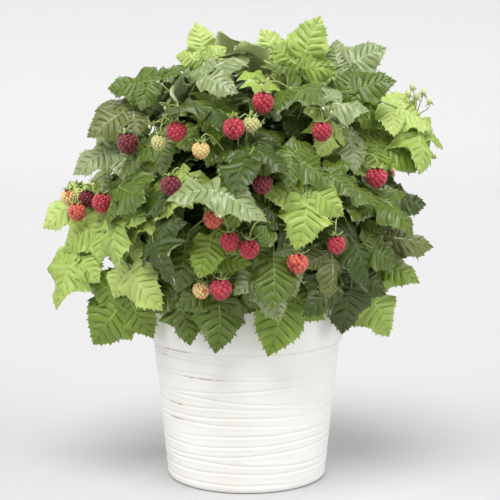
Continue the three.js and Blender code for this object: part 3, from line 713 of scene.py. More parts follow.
def vein_end(u):
    """Where a vein meets the margin: the lowest ones run back round the heart-shaped base."""
    return u**0.75 - BASE_DIP * (u / DIP_AT) * math.exp(1 - u / DIP_AT)


def half_width(u):
    """A broad blade with a short drawn-out tip, where 1 is the widest."""
    end = u**0.75
    return (end**0.5 * (1 - end) ** 0.85) / (0.37**0.5 * 0.63**0.85) * (1 - 0.5 * end**5)


def row_at(j, level):
    """The share of the way from base to tip of a row of points. A vein's two rows draw together outwards."""
    narrowing = (0.5 - PLACES[j % STEPS]) * 0.1 * level if j % STEPS in (1, STEPS - 1) else 0.0
    return (j // STEPS + PLACES[j % STEPS] - narrowing) / VEINS


def tooth_at(k):
    """How far the margin stands out at a point of the toothed edge."""
    last = 2 * ROWS - 2
    return TEETH[k % len(TEETH)] * TOOTH * min(1.0, 6 * k / last) * (k < last)


def blade_plan():
    """The blade in its own plane: points (along, across, lift, sunk), four sets of faces, and creases."""
    points, index = [], {}

    def put(name, *point):
        index[name] = len(points)
        points.append(point)

    for side in (-1, 1):
        for j in range(ROWS):
            for a, level in enumerate(ACROSS):
                u = row_at(j, level)
                fade = math.sin(math.pi * (0.06 + 0.9 * u)) ** 0.5
                s = vein_root(u) + (vein_end(u) - vein_root(u)) * level**1.12
                relief = HEIGHTS[j % STEPS] * math.sin(math.pi * level**0.8) * fade
                if j % STEPS:
                    relief += CRINKLE * (1 - 0.6 * level**3) * (draw(j, a, side + 1, 80) - 0.5)
                lift = relief - 0.6 * (1 - level) ** 6
                put((side, j, a), s, side * half_width(u) * level, lift, 0)
                if j % STEPS == 0 and a in UNDER_LEVELS:
                    put((side, j, a, "under"), s, side * half_width(u) * level, lift, 1)
        for k in range(2 * ROWS - 1):
            u = k / (2 * ROWS - 2)
            tooth = tooth_at(k)
            s = vein_end(u) + max(0.0, 0.6 * tooth)
            x = half_width(u) + tooth * (0.4 + 0.6 * half_width(u))
            put((side, "m", k), s, side * max(x, 0.004), 0.2 * math.cos(math.pi * k / 2), 0)

    upper, veins_and_groove_shadow, ribs, under, creases = [], [], [], [], []
    for side in (-1, 1):
        strip, lines, below = [], [], []
        for j in range(ROWS - 1):
            for a in range(len(ACROSS) - 1):
                p, q = index[side, j, a], index[side, j, a + 1]
                r, t = index[side, j + 1, a + 1], index[side, j + 1, a]
                # The faces beside each sunk vein take a darker tone: partly the vein's colour, partly
                # painted shadow in the groove.
                (lines if j % STEPS in (0, STEPS - 1) else strip).extend([[p, q, r], [p, r, t]])
            p, t = index[side, j, len(ACROSS) - 1], index[side, j + 1, len(ACROSS) - 1]
            m0, m1, m2 = (index[side, "m", 2 * j + i] for i in range(3))
            strip += [[p, m0, m1], [p, m1, t], [t, m1, m2]]
        for j in range(0, ROWS - 1, STEPS):
            here, there = ([index[side, i, a, "under"] for a in UNDER_LEVELS] for i in (j, j + STEPS))
            for p, q, r, t in zip(here, here[1:], there[1:], there):
                below += [[p, q, r], [p, r, t]]
            margin = [index[side, "m", 2 * j + i] for i in range(2 * STEPS + 1)]
            creases += list(zip(margin, margin[1:]))
            below += [[q, m, n] for m, n in zip(margin[:STEPS], margin[1:])]
            below += [[q, margin[STEPS], r]]
            below += [[r, m, n] for m, n in zip(margin[STEPS:], margin[STEPS + 1 :])]
            if j:
                line = [index[side, j, a] for a in range(len(ACROSS))] + [index[side, "m", 2 * j]]
                creases += list(zip(line, line[1:]))
        upper += strip if side > 0 else [face[::-1] for face in strip]
        veins_and_groove_shadow += lines if side > 0 else [face[::-1] for face in lines]
        under += below if side < 0 else [face[::-1] for face in below]
    for j in range(ROWS - 1):
        a, b, c, d = (index[key] for key in ((-1, j, 0), (1, j, 0), (1, j + 1, 0), (-1, j + 1, 0)))
        ribs += [[a, b, c], [a, c, d]]
        creases += [[a, d], [b, c]]
    for j in range(0, ROWS - 1, STEPS):
        a, b = index[-1, j, 0, "under"], index[1, j, 0, "under"]
        d, c = index[-1, j + STEPS, 0, "under"], index[1, j + STEPS, 0, "under"]
        under += [[a, c, b], [a, d, c]]

    # The faces that close the base and the tip, between the two sides.
    inwards = [(0, a) for a in range(len(ACROSS))][::-1]
    left, right = ([index[side, "m", 0]] + [index[side, *key] for key in inwards] for side in (-1, 1))
    for i in range(len(inwards)):
        ribs += [[left[i], right[i], right[i + 1]], [left[i], right[i + 1], left[i + 1]]]
    left, right = (
        [index[side, "m", 0]] + [index[side, 0, a, "under"] for a in UNDER_LEVELS[::-1]] for side in (-1, 1)
    )
    for i in range(len(UNDER_LEVELS)):
        under += [[left[i], right[i + 1], right[i]], [left[i], left[i + 1], right[i + 1]]]
    last = ROWS - 1
    c, d = index[1, "m", 2 * last], index[-1, "m", 2 * last]
    a, b = index[-1, last, 0], index[1, last, 0]
    ribs += [[a, b, c], [a, c, d]]
    a, b = index[-1, last, 0, "under"], index[1, last, 0, "under"]
    under += [[a, c, b], [a, d, c]]
    return [np.array(part) for part in (points, upper, veins_and_groove_shadow, ribs, under, creases)]


PLAN, *FACE_SETS, CREASES = blade_plan()
ALL_FACES = np.concatenate(FACE_SETS)
FACE_COUNTS = [len(faces) for faces in FACE_SETS]


def blade_mesh(leaflet):
    """The points of a leaflet's blade, bent and waved in its own way."""
    s, x, lift, sunk = PLAN.T
    length, half = leaflet["length"], leaflet["width"] / 2
    key = leaflet["key"]
    if draw(key, 43) < LOBED_SHARE and leaflet["role"] == 0:
        depth = 0.12 + 0.16 * draw(key, 44)
        lobe, notch = np.exp(-(((s - 0.38) / 0.1) ** 2)), np.exp(-(((s - 0.58) / 0.09) ** 2))
        x = x * (1 + depth * lobe - depth * notch)
    turn = draw(key, 40)
    wave = WAVE * np.sin(2 * math.pi * (1.6 * s + turn) + 2.4 * np.sign(x)) * x * x
    droop = leaflet["cup"] * (0.55 * x * x + 0.45 * np.abs(x))
    twist = (draw(key, 45) - 0.5) * TWIST * x * (s - 0.3)
    curl = leaflet["arch"] * s * s + CURL * draw(key, 41) * np.clip(s, 0, 1) ** 4
    height = half * (wave - droop + twist) - length * curl
    skew = SKEW * (draw(key, 42) - 0.5) * length * np.sin(math.pi * np.clip(s, 0, 1))
    return (
        leaflet["base"]
        + np.outer(length * s, leaflet["along"])
        + np.outer(half * x + skew, leaflet["side"])
        + np.outer(height + RELIEF * length * lift - THICK * sunk, leaflet["face"])
    )


# ---- finishes


def linear(*rgb):
    return [c / 255 / 12.92 if c <= 10 else ((c / 255 + 0.055) / 1.055) ** 2.4 for c in rgb] + [1.0]


def plain(name, rgb, roughness, **sockets):
    """A finish of one colour: its numbers stand on the shader's own sockets."""
    finish = bpy.data.materials.new(name)
    finish.use_nodes = True
    shader = finish.node_tree.nodes["Principled BSDF"]
    shader.inputs["Base Color"].default_value = linear(*rgb)
    shader.inputs["Roughness"].default_value = roughness
    for socket, value in sockets.items():
        shader.inputs[socket.replace("_", " ")].default_value = value
    finish.diffuse_color = linear(*rgb)
    return finish


def node(tree, kind, **values):
    made = tree.nodes.new(kind)
    for name, value in values.items():
        if name in made.inputs:
            made.inputs[name].default_value = value
        else:
            setattr(made, name, value)
    return made


def mottled(name, dark, light, scale, roughness, bump, bump_scale, stretch=(1, 1, 1)):
    """A finish whose colour drifts between two tones, with a fine relief."""
    finish = plain(name, light, roughness)
    tree = finish.node_tree
    shader = tree.nodes["Principled BSDF"]
    coordinates = node(tree, "ShaderNodeTexCoord")
    mapping = node(tree, "ShaderNodeMapping")
    mapping.inputs["Scale"].default_value = stretch
    tree.links.new(coordinates.outputs["Object"], mapping.inputs["Vector"])
    drift = node(tree, "ShaderNodeTexNoise", Scale=scale, Detail=5.0, Roughness=0.6)
    ramp = node(tree, "ShaderNodeValToRGB")
    ramp.color_ramp.elements[0].position = 0.34
    ramp.color_ramp.elements[0].color = linear(*dark)
    ramp.color_ramp.elements[1].position = 0.66
    ramp.color_ramp.elements[1].color = linear(*light)
    grain = node(tree, "ShaderNodeTexNoise", Scale=bump_scale, Detail=6.0, Roughness=0.6)
    relief = node(tree, "ShaderNodeBump", Strength=0.6, Distance=bump)
    tree.links.new(mapping.outputs["Vector"], drift.inputs["Vector"])
    tree.links.new(mapping.outputs["Vector"], grain.inputs["Vector"])
    tree.links.new(drift.outputs["Fac"], ramp.inputs["Fac"])
    tree.links.new(ramp.outputs["Color"], shader.inputs["Base Color"])
    tree.links.new(grain.outputs["Fac"], relief.inputs["Height"])
    tree.links.new(relief.outputs["Normal"], shader.inputs["Normal"])
    return finish


LEAF_ROUGHNESS = 0.38
GLOSS = {"painted_shade": 0.2, "green": 0.55, "dull": 0.7}  # and 0.5 for the rest
# The shade tone is painted shade: a darker, yellower green for leaves that lie in the crown's shadow.
LEAF_COLOURS = {
    "painted_shade": (48, 62, 2),
    "deep": (62, 82, 12),
    "green": (88, 110, 28),
    "dull": (138, 155, 100),
    "bronze": (106, 114, 56),
    "fresh": (122, 148, 46),
    "light": (156, 180, 84),
    "lime": (182, 204, 110),
    "pale": (208, 222, 156),
    "underside": (184, 198, 156),
}
VEIN_AND_GROOVE_SHADOW_TONE = {"fresh": 0.84, "light": 0.88, "lime": 0.9}  # against the leaf's own, and 0.78 for the rest: partly the veins' own colour, partly painted shadow in their sunk grooves


def leaf_finish(name, rgb):
    return plain(f"leaf_{name}", rgb, LEAF_ROUGHNESS, Specular_IOR_Level=GLOSS.get(name, 0.5))


TONES = [leaf_finish(name, rgb) for name, rgb in LEAF_COLOURS.items()]
VEIN_AND_SHADOW_FROM = len(TONES)
# Darker copies of each tone for the faces beside the veins: partly vein colour, partly painted shadow in the
# grooves.
for name, rgb in LEAF_COLOURS.items():
    TONES.append(leaf_finish(f"{name}_veins", [VEIN_AND_GROOVE_SHADOW_TONE.get(name, 0.78) * c for c in rgb]))
SHADE, DEEP, GREEN, DULL, BRONZE, FRESH, LIGHT, LIME, PALE, UNDER = range(VEIN_AND_SHADOW_FROM)

# Each tone with its midrib's, and the tones of leaves that are pale below.
RIB_OF = {SHADE: DEEP, DEEP: GREEN, GREEN: FRESH, DULL: UNDER, BRONZE: UNDER, FRESH: LIGHT}
RIB_OF |= {LIGHT: LIME, LIME: PALE}
PALE_BELOW = (DULL, FRESH, LIGHT, LIME)

# The shoots' own tones, by their place in the list.
SHOOT_TONES = [LIME, LIGHT, LIME, DULL, GREEN, LIME, LIGHT, FRESH, DEEP, BRONZE, FRESH, LIGHT, DEEP]
SHOOT_TONES += [GREEN, BRONZE, DULL, LIME, LIGHT, LIGHT, FRESH]
SHOOT_TONES += [GREEN, GREEN, DULL, FRESH, GREEN, DULL, FRESH]

# The tones dealt out to the rest, by mass.
MIXES = {
    "crest_left": (FRESH, GREEN, DULL, LIGHT, FRESH, GREEN, DULL, DEEP, GREEN),
    "crest_right": (DEEP, GREEN, DULL, LIGHT, FRESH, LIGHT, GREEN, DULL, DEEP),
    "front": (DEEP, GREEN, DULL, GREEN, FRESH, FRESH, DULL, GREEN, LIGHT),
    "front_left": (LIGHT, FRESH, LIGHT, GREEN, LIGHT, FRESH, DULL, DEEP),
    "front_right": (DEEP, FRESH, BRONZE, GREEN, DEEP, FRESH, GREEN, SHADE, GREEN, FRESH),
    "back_right": (DEEP, GREEN, BRONZE, GREEN, FRESH, FRESH, GREEN, DULL),
}
BACK_MIX = (DEEP, GREEN, DULL, GREEN, FRESH, LIGHT, GREEN, DEEP)
BRONZE_BELOW = 300
SPRAY = (-62, 215, 325)  # the paler spray at the left: its leaves' rightmost place, and its heights
SPRAY_MIX, SPRAY_SHARE = (LIGHT, LIME, LIME, LIGHT), 0.8
INNER_SHARE, SHADE_BELOW = 0.75, 395  # leaves this far inside the crown's skin and below its top are dark: painted shade


def tone_of(leaf):
    """The tone of a leaf, dealt out by its spray and its place in the crown."""
    key, joint = leaf["key"], leaf["joint"]
    if leaf["shoot"] is not None:
        return SHOOT_TONES[leaf["shoot"]]
    if joint[0] < SPRAY[0] and SPRAY[1] < joint[2] < SPRAY[2] and draw(key, 52) < SPRAY_SHARE:
        return SPRAY_MIX[int(len(SPRAY_MIX) * draw(key, 53))]
    # Leaves deep inside the crown take the painted-shade tone.
    if leaf["share"] < INNER_SHARE and joint[2] < SHADE_BELOW:
        return SHADE if draw(key, 50) < 0.7 else DEEP
    mix = MIXES.get(CANES[leaf["index"]][0], BACK_MIX)
    tone = mix[int(draw(key, 51) * len(mix))]
    return GREEN if tone == BRONZE and joint[2] > BRONZE_BELOW else tone


# ---- leaves and twigs


FOOT_RADII = (0.85, 0.75, 0.6)
STEM_RADII, SIDE_STEM_RADII = (2.2, 1.3), (1.7, 1.1)
STEM, STALK = 0, 1  # the twigs' slots


def grow_foliage(crown):
    """The leaves of each mass, and one heap of all their stalks and stems."""
    heaps = [Heap() for _ in CANES]
    twigs = Heap()
    for leaf in crown.leaves:
        tone = tone_of(leaf)
        heap = heaps[leaf["index"]]
        for leaflet in leaf["leaflets"]:
            tones = [tone, tone + VEIN_AND_SHADOW_FROM, RIB_OF[tone], PALE if tone in PALE_BELOW else UNDER]
            heap.add(blade_mesh(leaflet), ALL_FACES, np.repeat(tones, FACE_COUNTS), CREASES)
            base = leaflet["base"]
            start = leaf["joint"] - leaf["along"] * 1.0
            if np.linalg.norm(base - start) > 1:
                foot = [start, (start + base) / 2 - leaf["face"] * 0.3, base + leaflet["along"] * 2]
                twigs.add(*tube(foot, FOOT_RADII, 5), STALK)
        bud = crown.bud_points[leaf["bud"]]
        way = crown.bud_ways[leaf["bud"]]
        span = np.linalg.norm(leaf["joint"] - bud)
        stalk = Bend(
            bud - way * 0.6,
            bud + unit(way + (leaf["joint"] - bud) / span) * span * 0.35,
            leaf["joint"] - (leaf["along"] * 0.6 - UP * 0.25) * span * 0.3,
            leaf["joint"],
        )
        steps = np.linspace(0, 1, 8)
        thick = (1.05 - 0.35 * steps) * math.sqrt(max(leaf["scale"], 0.4))
        twigs.add(*tube(stalk.along(steps), thick, 6), STALK)
    for stems in STEMS:
        for k, (curve, start, _) in enumerate(stems):
            steps = np.linspace(0, 1, 22)
            radii = SIDE_STEM_RADII if k else STEM_RADII
            line = curve.along(np.minimum(start + (1 - start) * steps, 1))
            knots = 1 + 0.16 * (np.cos(steps * 34) > 0.8)
            twigs.add(*tube(line, (radii[0] + (radii[1] - radii[0]) * steps) * knots, 9), STEM)
    return heaps, twigs


# ---- berries


def ball(columns, rows):
    """A round ball of radius 1 as points and triangles, with its first column of points towards +X."""
    bm = bmesh.new()
    quarter = Matrix.Rotation(-math.pi / 2, 4, "Z")
    bmesh.ops.create_uvsphere(bm, u_segments=columns, v_segments=rows, radius=1, matrix=quarter)
    bmesh.ops.triangulate(bm, faces=bm.faces)
    bm.verts.index_update()
    points = np.array([v.co for v in bm.verts])
    faces = np.array([[v.index for v in face.verts] for face in bm.faces])
    bm.free()
    return points, faces


RED, DARK, ORANGE, YELLOW, UNRIPE, PINK = range(6)
RIPENESS = {"red": RED, "dark": DARK, "orange": ORANGE, "yellow": YELLOW, "green": UNRIPE, "shaded": RED}
MOTTLED = {RED: (0.3, PINK), ORANGE: (0.12, RED), YELLOW: (0.1, ORANGE)}  # drupelets in another colour
SMALL = {"green": 0.8, "yellow": 0.92}
RIPE_BEHIND = ("red", "dark", "orange", "green")
FRUIT_COLOURS = {
    "red": (176, 34, 54),
    "dark_red": (118, 18, 36),
    "orange": (210, 98, 74),
    "pale_yellow": (230, 200, 134),
    "unripe": (200, 200, 130),
    "pink": (196, 56, 74),
}
FRUIT_FINISHES = [
    plain(f"fruit_{name}", rgb, 0.34, Sheen_Weight=0.35, Sheen_Roughness=0.4, Coat_Weight=0.1)
    for name, rgb in FRUIT_COLOURS.items()
]
DRUPELET = ball(6, 4)
CORE = ball(10, 7)
DRUPELETS = 62
STALK_DROP = 17
SPENT, SPENT_SHARE = 2, 0.4  # old calyces beside a berry, at most, and how likely each is
SEPAL, BERRY_STALK, BARE_CORE = range(3)  # the slots of what is green about the berries


def egg(radius, length, v, azimuth):
    """A point on a berry's skin: v runs from its wide top to its tip."""
    polar = math.acos(1 - 2 * v)
    wide = radius * (1 + 0.12 * math.cos(polar))
    x, y, z = math.sin(polar) * math.cos(azimuth), math.sin(polar) * math.sin(azimuth), math.cos(polar)
    return np.array([x * wide, y * wide, z * length / 2])


def grow_berries(crown):
    """The berries, built up of drupelets, and one heap of their stalks and calyces."""
    fruit, green = Heap(), Heap()
    for berry in crown.berries:
        key, size = berry["key"], berry["size"]
        ripeness = berry["ripeness"] or RIPE_BEHIND[int(draw(key, 5) * len(RIPE_BEHIND))]
        tone = RIPENESS[ripeness]
        small = FRUIT_SCALE * SMALL.get(ripeness, 1.0)
        radius, length = FRUIT["radius"] * size * small, FRUIT["length"] * size * small
        place = berry["place"]
        tilt = 0.3 * (draw(key, 8) - 0.5), 0.3 * (draw(key, 9) - 0.5)
        axis = unit(np.array([tilt[0], tilt[1], 1.0]))
        side = unit(np.cross(axis, [0.0, 1.0, 0.2]))
        axes = np.array([side, np.cross(axis, side), axis])
        core, core_faces = CORE
        fruit.add(place + (core * [radius * 0.84, radius * 0.84, length * 0.42]) @ axes, core_faces, tone)
        for i in range(DRUPELETS):
            v = (i + 0.6) / DRUPELETS
            azimuth = i * math.radians(GOLDEN) + 0.22 * (draw(key, 200 + i) - 0.5)
            r = radius * (0.24 + 0.03 * draw(key, 100 + i)) * (1.06 - 0.25 * abs(v - 0.45))
            points, faces = DRUPELET
            points = points * r * [1, 1, 1.04] + egg(radius * 0.86, length * 0.88, v, azimuth)
            share, other = MOTTLED.get(tone, (0, tone))
            fruit.add(place + points @ axes, faces, other if draw(key, 300 + i) < share else tone)
        crown_place = place + axis * length * 0.5
        grow_calyx(green, crown_place, axis, side, radius, key)
        bud = crown.bud_points[berry["bud"]]
        way = crown.bud_ways[berry["bud"]]
        span = np.linalg.norm(crown_place - bud)
        over = crown_place + axis * min(STALK_DROP, span * 0.6)
        stalk = Bend(bud - way * 0.6, (bud + over) / 2 + UP * 9, over + UP * 4, crown_place - axis * 0.5)
        steps = np.linspace(0, 1, 14)
        line = stalk.along(steps)
        green.add(*tube(line, 0.95 - 0.35 * steps, 6), BERRY_STALK)
        for n in range(SPENT):
            grow_spent(green, line[9 + n], side, key + 7 * n)
    return fruit, green


def grow_spent(heap, root, side, key):
    """What is left of an eaten or fallen berry: its calyx on a short stalk of its own."""
    if draw(key, 60) > SPENT_SHARE:
        return
    way = side * (1 if draw(key, 61) < 0.5 else -1) * (7 + 6 * draw(key, 62))
    way = way + UP * 8 * (draw(key, 63) - 0.6)
    place = root + way + np.array([0, -4 * draw(key, 64), 0])
    stalk = Bend(root, root + way * 0.3 + UP * 2, place - way * 0.3 + UP * 2, place)
    heap.add(*tube(stalk.along(np.linspace(0, 1, 6)), np.linspace(0.6, 0.45, 6), 5), BERRY_STALK)
    axis = unit(np.array([0.4 * (draw(key, 65) - 0.5), -0.5, -1.0]))
    grow_calyx(heap, place, -axis, unit(np.cross(axis, side)), 6.0, key)
    points, faces = CORE
    heap.add(place + points * [1.5, 1.5, 2.2] + axis * 1.6, faces, BARE_CORE)


def grow_buds(crown, green):
    """Small round flower buds in their sepals, on thin stalks."""
    blossom = Heap()
    for i, spot in enumerate(BUDS):
        place = at(*spot)
        radius = 2.6 + 0.8 * draw(i, 90)
        axis = unit(np.array([draw(i, 91) - 0.5, draw(i, 92) - 0.5, 1.2]))
        side = unit(np.cross(axis, [0.0, 1.0, 0.2]))
        points, faces = CORE
        blossom.add(place + points * radius * [1, 1, 1.25], faces, 0)
        grow_calyx(green, place - axis * radius * 0.8, -axis, side, radius * 1.7, 90 + i)
        root = crown.leaves[SPRAY_SHOOT]["joint"]
        bow = root + (place - root) * 0.4 + UP * 4
        stalk = Bend(root, bow, place - axis * 12, place - axis * radius * 0.7)
        green.add(*tube(stalk.along(np.linspace(0, 1, 9)), np.linspace(0.8, 0.45, 9), 6), BERRY_STALK)
    return blossom


def grow_calyx(heap, place, axis, side, radius, key):
    """Five pointed sepals that bend back over a berry's top."""
    over = np.cross(axis, side)
    for i in range(5):
        a = 2 * math.pi * (i + 0.3 * draw(key, 20 + i)) / 5
        out = side * math.cos(a) + over * math.sin(a)
        wide = np.cross(axis, out)
        reach = radius * (0.8 + 0.25 * draw(key, 30 + i))
        back = 0.25 + 0.6 * draw(key, 36 + i)
        rows = []
        for s, w in ((0.0, 0.1), (0.3, 0.26), (0.6, 0.2), (1.0, 0.015)):
            middle = place + out * reach * s + axis * (reach * (back * s * s - 0.12 * s) + 0.4)
            rows.append([middle - wide * radius * w, middle + axis * 0.5, middle + wide * radius * w])
        top = np.array(rows).reshape(-1, 3)
        points = np.concatenate([top, top - axis * 0.45])
        faces = []
        for r in range(3):
            for c in range(2):
                p = r * 3 + c
                faces += [[p, p + 1, p + 4], [p, p + 4, p + 3]]
                faces += [[p + 12, p + 16, p + 13], [p + 12, p + 15, p + 16]]
        rim = [0, 3, 6, 9, 10, 11, 8, 5, 2, 1]
        for p, q in zip(rim, rim[1:] + rim[:1]):
            faces += [[p, q, q + 12], [p, q + 12, p + 12]]
        heap.add(points, np.array(faces), SEPAL)


# ---- canes


CANE_ROWS, CANE_SIDES = 60, 18
KNOT_SPACING, PRICKLE_SPACING = 26, 7
PRICKLE_RADII = (0.5, 0.28, 0.04)
BARK, PRICKLE = 0, 1  # the canes' slots


def cane_radius(share):
    return 4.2 - 2.0 * share


def grow_canes():
    """Each cane with its bark: knots at the old leaf scars, flutes, and small prickles."""
    heap = Heap()
    turns = np.tile(np.arange(CANE_SIDES) * 2 * math.pi / CANE_SIDES, CANE_ROWS)
    steps = np.linspace(0, 1, CANE_ROWS)
    share = np.repeat(steps, CANE_SIDES)
    for index, (curve, cane) in enumerate(zip(CANE_CURVES, CANES)):
        line = curve.along(steps * cane[2])
        points, faces = tube(line, cane_radius(steps), CANE_SIDES)
        middle = np.repeat(line, CANE_SIDES, axis=0)
        length = curve.length * cane[2]
        knot = np.exp(-(((share * (length / KNOT_SPACING) + 0.3 * index) % 1.0 - 0.5) ** 2) / 0.004)
        flute = 0.03 * np.sin(5 * turns + 4 * share + index) + 0.02 * np.sin(11 * turns + 9 * share)
        heap.add(middle + (points - middle) * (1 + 0.14 * knot + flute)[:, None], faces, BARK)
        for i in range(int(length / PRICKLE_SPACING)):
            height = (i + 0.5) / (length / PRICKLE_SPACING)
            place = curve.along([height * cane[2]])[0]
            a = i * math.radians(GOLDEN)
            out = np.array([math.cos(a), math.sin(a), -0.15])
            radius = cane_radius(height)
            prickle = [place + out * reach for reach in (radius * 0.8, radius + 0.8, radius + 1.7)]
            heap.add(*tube(prickle, PRICKLE_RADII, 5), PRICKLE)
    return heap


# ---- pot and soil

SEGMENTS = 224
WALL = 6.5
WELL_BOTTOM = 150  # inside the pot, under the soil
FOOT_HEIGHT = 6
SKIN = 3  # what lies deeper in the wall than this is the pot's inside

# Thrown grooves: height at the front, rise towards the right, where round the pot they are strongest.
GROOVES = [
    (141.5, -3, -70), (137.4, -2, -60), (125.8, 1, -50), (120.6, 0, -40), (109, 4.5, -10), (96.3, -8, -20),
    (90, 0, -50), (80.4, 1, -20), (72, -2, -45), (61.2, 3, 10), (50.5, 3.5, 0), (40.8, 5, 20), (30, -3, -10),
    (20.8, 0, 10), (8.4, -2, 0),
]
FAINT_ABOVE = 55  # over this height a groove fades to both sides of where it is strongest
GROOVE_DEPTH = 0.75
GROOVE_REACH = 14  # a groove changes nothing further up or down than this

# Rusty hairlines: the groove that they lie in, or the seam under the band, and the stretch in degrees.
SEAM_HEIGHT = 147.2
STAINS = [(None, -68, -30), (3, -45, -12), (6, -60, -44), (8, -62, -42), (1, -64, -55)]


def body_radius(z):
    return BODY_FOOT + BODY_FLARE * min(1.0, z / BODY_TOP)


def pot_profile():
    """The pot's outline from the middle of its underside, out, up, over the rim and down inside."""
    foot = [(r, 0.0) for r in np.linspace(0.6, 79, 14)]
    foot += [(79 + 5.3 * math.sin(a), 5 - 5 * math.cos(a)) for a in np.linspace(0.25, math.pi / 2, 7)]
    side = [(body_radius(z), z) for z in np.linspace(FOOT_HEIGHT, BODY_TOP, 176)]
    step = [(99.5, 147.4), (100.1, 147.9), (100.5, 148.6)]
    quarter = np.linspace(0.1, 1.57, 12)
    bell = [(100.5 + 3.3 * math.sin(a), 148.6 + 12.4 * (1 - math.cos(a))) for a in quarter]
    band = [(103.8 + 2.2 * ((z - 161) / 35.7), z) for z in np.linspace(162, 196.7, 18)]
    rim = [(102.75 + 3.25 * math.cos(a), 196.75 + 3.25 * math.sin(a)) for a in np.linspace(0.15, 3.0, 12)]
    heights = np.linspace(194, WELL_BOTTOM, 14)
    well = [(body_radius(z) - WALL + max(0.0, (z - BODY_TOP) / 14), z) for z in heights]
    return foot + side + step + bell + band + rim + well + [(r, WELL_BOTTOM) for r in (70, 40, 0.6)]


def groove_height(i, a):
    height, rise, _ = GROOVES[i]
    wander = 0.5 * math.sin(3 * a + 6.28 * draw(i, 71)) + 0.3 * math.sin(7 * a + 6.28 * draw(i, 72))
    return height + rise * math.sin(a) + wander


def groove_depth(z, a):
    """How far the thrown grooves sink in at a height and an angle round the pot, where 1 is the deepest."""
    depth = 0.0
    for i, (height, _, strongest) in enumerate(GROOVES):
        if abs(z - height) < GROOVE_REACH:
            off = z - groove_height(i, a)
            around = 0.85
            if height > FAINT_ABOVE:
                around = 0.5 + 0.5 * math.cos(2 * (a - math.radians(strongest)))
            cut = math.exp(-(off**2)) - 0.35 * math.exp(-(((off + 2.4) / 1.5) ** 2))
            depth += (0.12 + 0.88 * around) * cut
    return depth


def stain_at(z, a, x, y):
    """The rusty tint of the hairlines, broken up along their length."""
    worst = 0.0
    for k, (groove, start, end) in enumerate(STAINS):
        line = SEAM_HEIGHT if groove is None else groove_height(groove, a) + 0.2
        middle, half = math.radians(start + end) / 2, math.radians(end - start) / 2
        along = 1 - min(1.0, abs(a - middle) / half) ** 4
        broken = max(0.0, 0.55 + 1.2 * noise.noise(Vector((x / 3, y / 3, k))))
        worst = max(worst, along * min(1.0, broken) * math.exp(-(((z - line) / 0.75) ** 2)))
    return worst


def spun(profile, steps):
    """A mesh turned about the plant's axis from its profile of radii and heights, in metres."""
    bm = bmesh.new()
    ring = [bm.verts.new((r, 0, z)) for r, z in profile]
    edges = [bm.edges.new(pair) for pair in zip(ring, ring[1:])]
    axis = {"cent": (0, 0, 0), "axis": (0, 0, 1), "angle": 2 * math.pi}
    bmesh.ops.spin(bm, geom=ring + edges, steps=steps, use_merge=True, **axis)
    bmesh.ops.remove_doubles(bm, verts=bm.verts, dist=1e-6)
    return bm


def piece_from(bm, name, finish):
    """Turns a mesh's faces outwards, and makes a piece of it."""
    bmesh.ops.recalc_face_normals(bm, faces=bm.faces)
    mesh = bpy.data.meshes.new(name)
    bm.to_mesh(mesh)
    bm.free()
    mesh.materials.append(finish)
    mesh.shade_smooth()
    piece = bpy.data.objects.new(name, mesh)
    bpy.context.scene.collection.objects.link(piece)
    return piece


def make_pot():
    bm = spun([(r * MM, z * MM) for r, z in pot_profile()], SEGMENTS)
    for hole in (0, WELL_BOTTOM):
        rim = [v for v in bm.verts if math.hypot(v.co.x, v.co.y) < 0.001 and abs(v.co.z / MM - hole) < 1]
        bmesh.ops.contextual_create(bm, geom=rim)
    stain = bm.verts.layers.float.new("stain")
    # Painted shade: darker in the thrown grooves, and a painted shadow line under the band's step.
    painted_shade = bm.verts.layers.float.new("painted_shade")
    for v in bm.verts:
        x, y, z = v.co / MM
        r = math.hypot(x, y)
        if z < FOOT_HEIGHT or r < body_radius(z) - SKIN:
            continue
        a = math.atan2(x, -y)
        swell = 0.5 * noise.noise(Vector((x, y, z)) / 48) + 0.16 * noise.noise(Vector((x, y, 3 * z)) / 14)
        sink = 0.0
        if z < BODY_TOP - 1:
            sink = groove_depth(z, a) * min(1.0, (z - FOOT_HEIGHT) / 3, (BODY_TOP - z) / 3)
        v[stain] = stain_at(z, a, x, y)
        v[painted_shade] = max(0.0, sink) + 0.7 * math.exp(-(((z - SEAM_HEIGHT) / 0.9) ** 2))
        k = (r + min(0.0, swell - 0.25) - GROOVE_DEPTH * sink) / r
        v.co.x *= k
        v.co.y *= k
    return piece_from(bm, "pot_body", pot_finish())


def tinted(finish, attribute, strength, rgb):
    """Lays a tone over a finish where a float attribute of the mesh says so."""
    tree = finish.node_tree
    base = tree.nodes["Principled BSDF"].inputs["Base Color"]
    mark = node(tree, "ShaderNodeAttribute", attribute_name=attribute)
    amount = node(tree, "ShaderNodeMath", operation="MULTIPLY", use_clamp=True)
    amount.inputs[1].default_value = strength
    mix = node(tree, "ShaderNodeMix", data_type="RGBA")
    colours = [socket for socket in mix.inputs if socket.type == "RGBA"]
    colours[1].default_value = linear(*rgb)
    tree.links.new(mark.outputs["Fac"], amount.inputs[0])
    tree.links.new(amount.outputs["Value"], mix.inputs["Factor"])
    tree.links.new(base.links[0].from_socket, colours[0])
    tree.links.new([socket for socket in mix.outputs if socket.type == "RGBA"][0], base)


def pot_finish():
    finish = mottled("white_glaze", (240, 238, 231), (248, 247, 244), 14, 0.36, 0.0003, 140)
    shader = finish.node_tree.nodes["Principled BSDF"]
    shader.inputs["Coat Weight"].default_value = 0.25
    shader.inputs["Coat Roughness"].default_value = 0.22
    # Painted shade in the thrown grooves and a painted shadow under the band's step.
    tinted(finish, "painted_shade", 0.22, (200, 195, 184))
    tinted(finish, "stain", 1.0, (138, 98, 60))
    return finish


SOIL_RADIUS, SOIL_BOTTOM = 94.5, 152


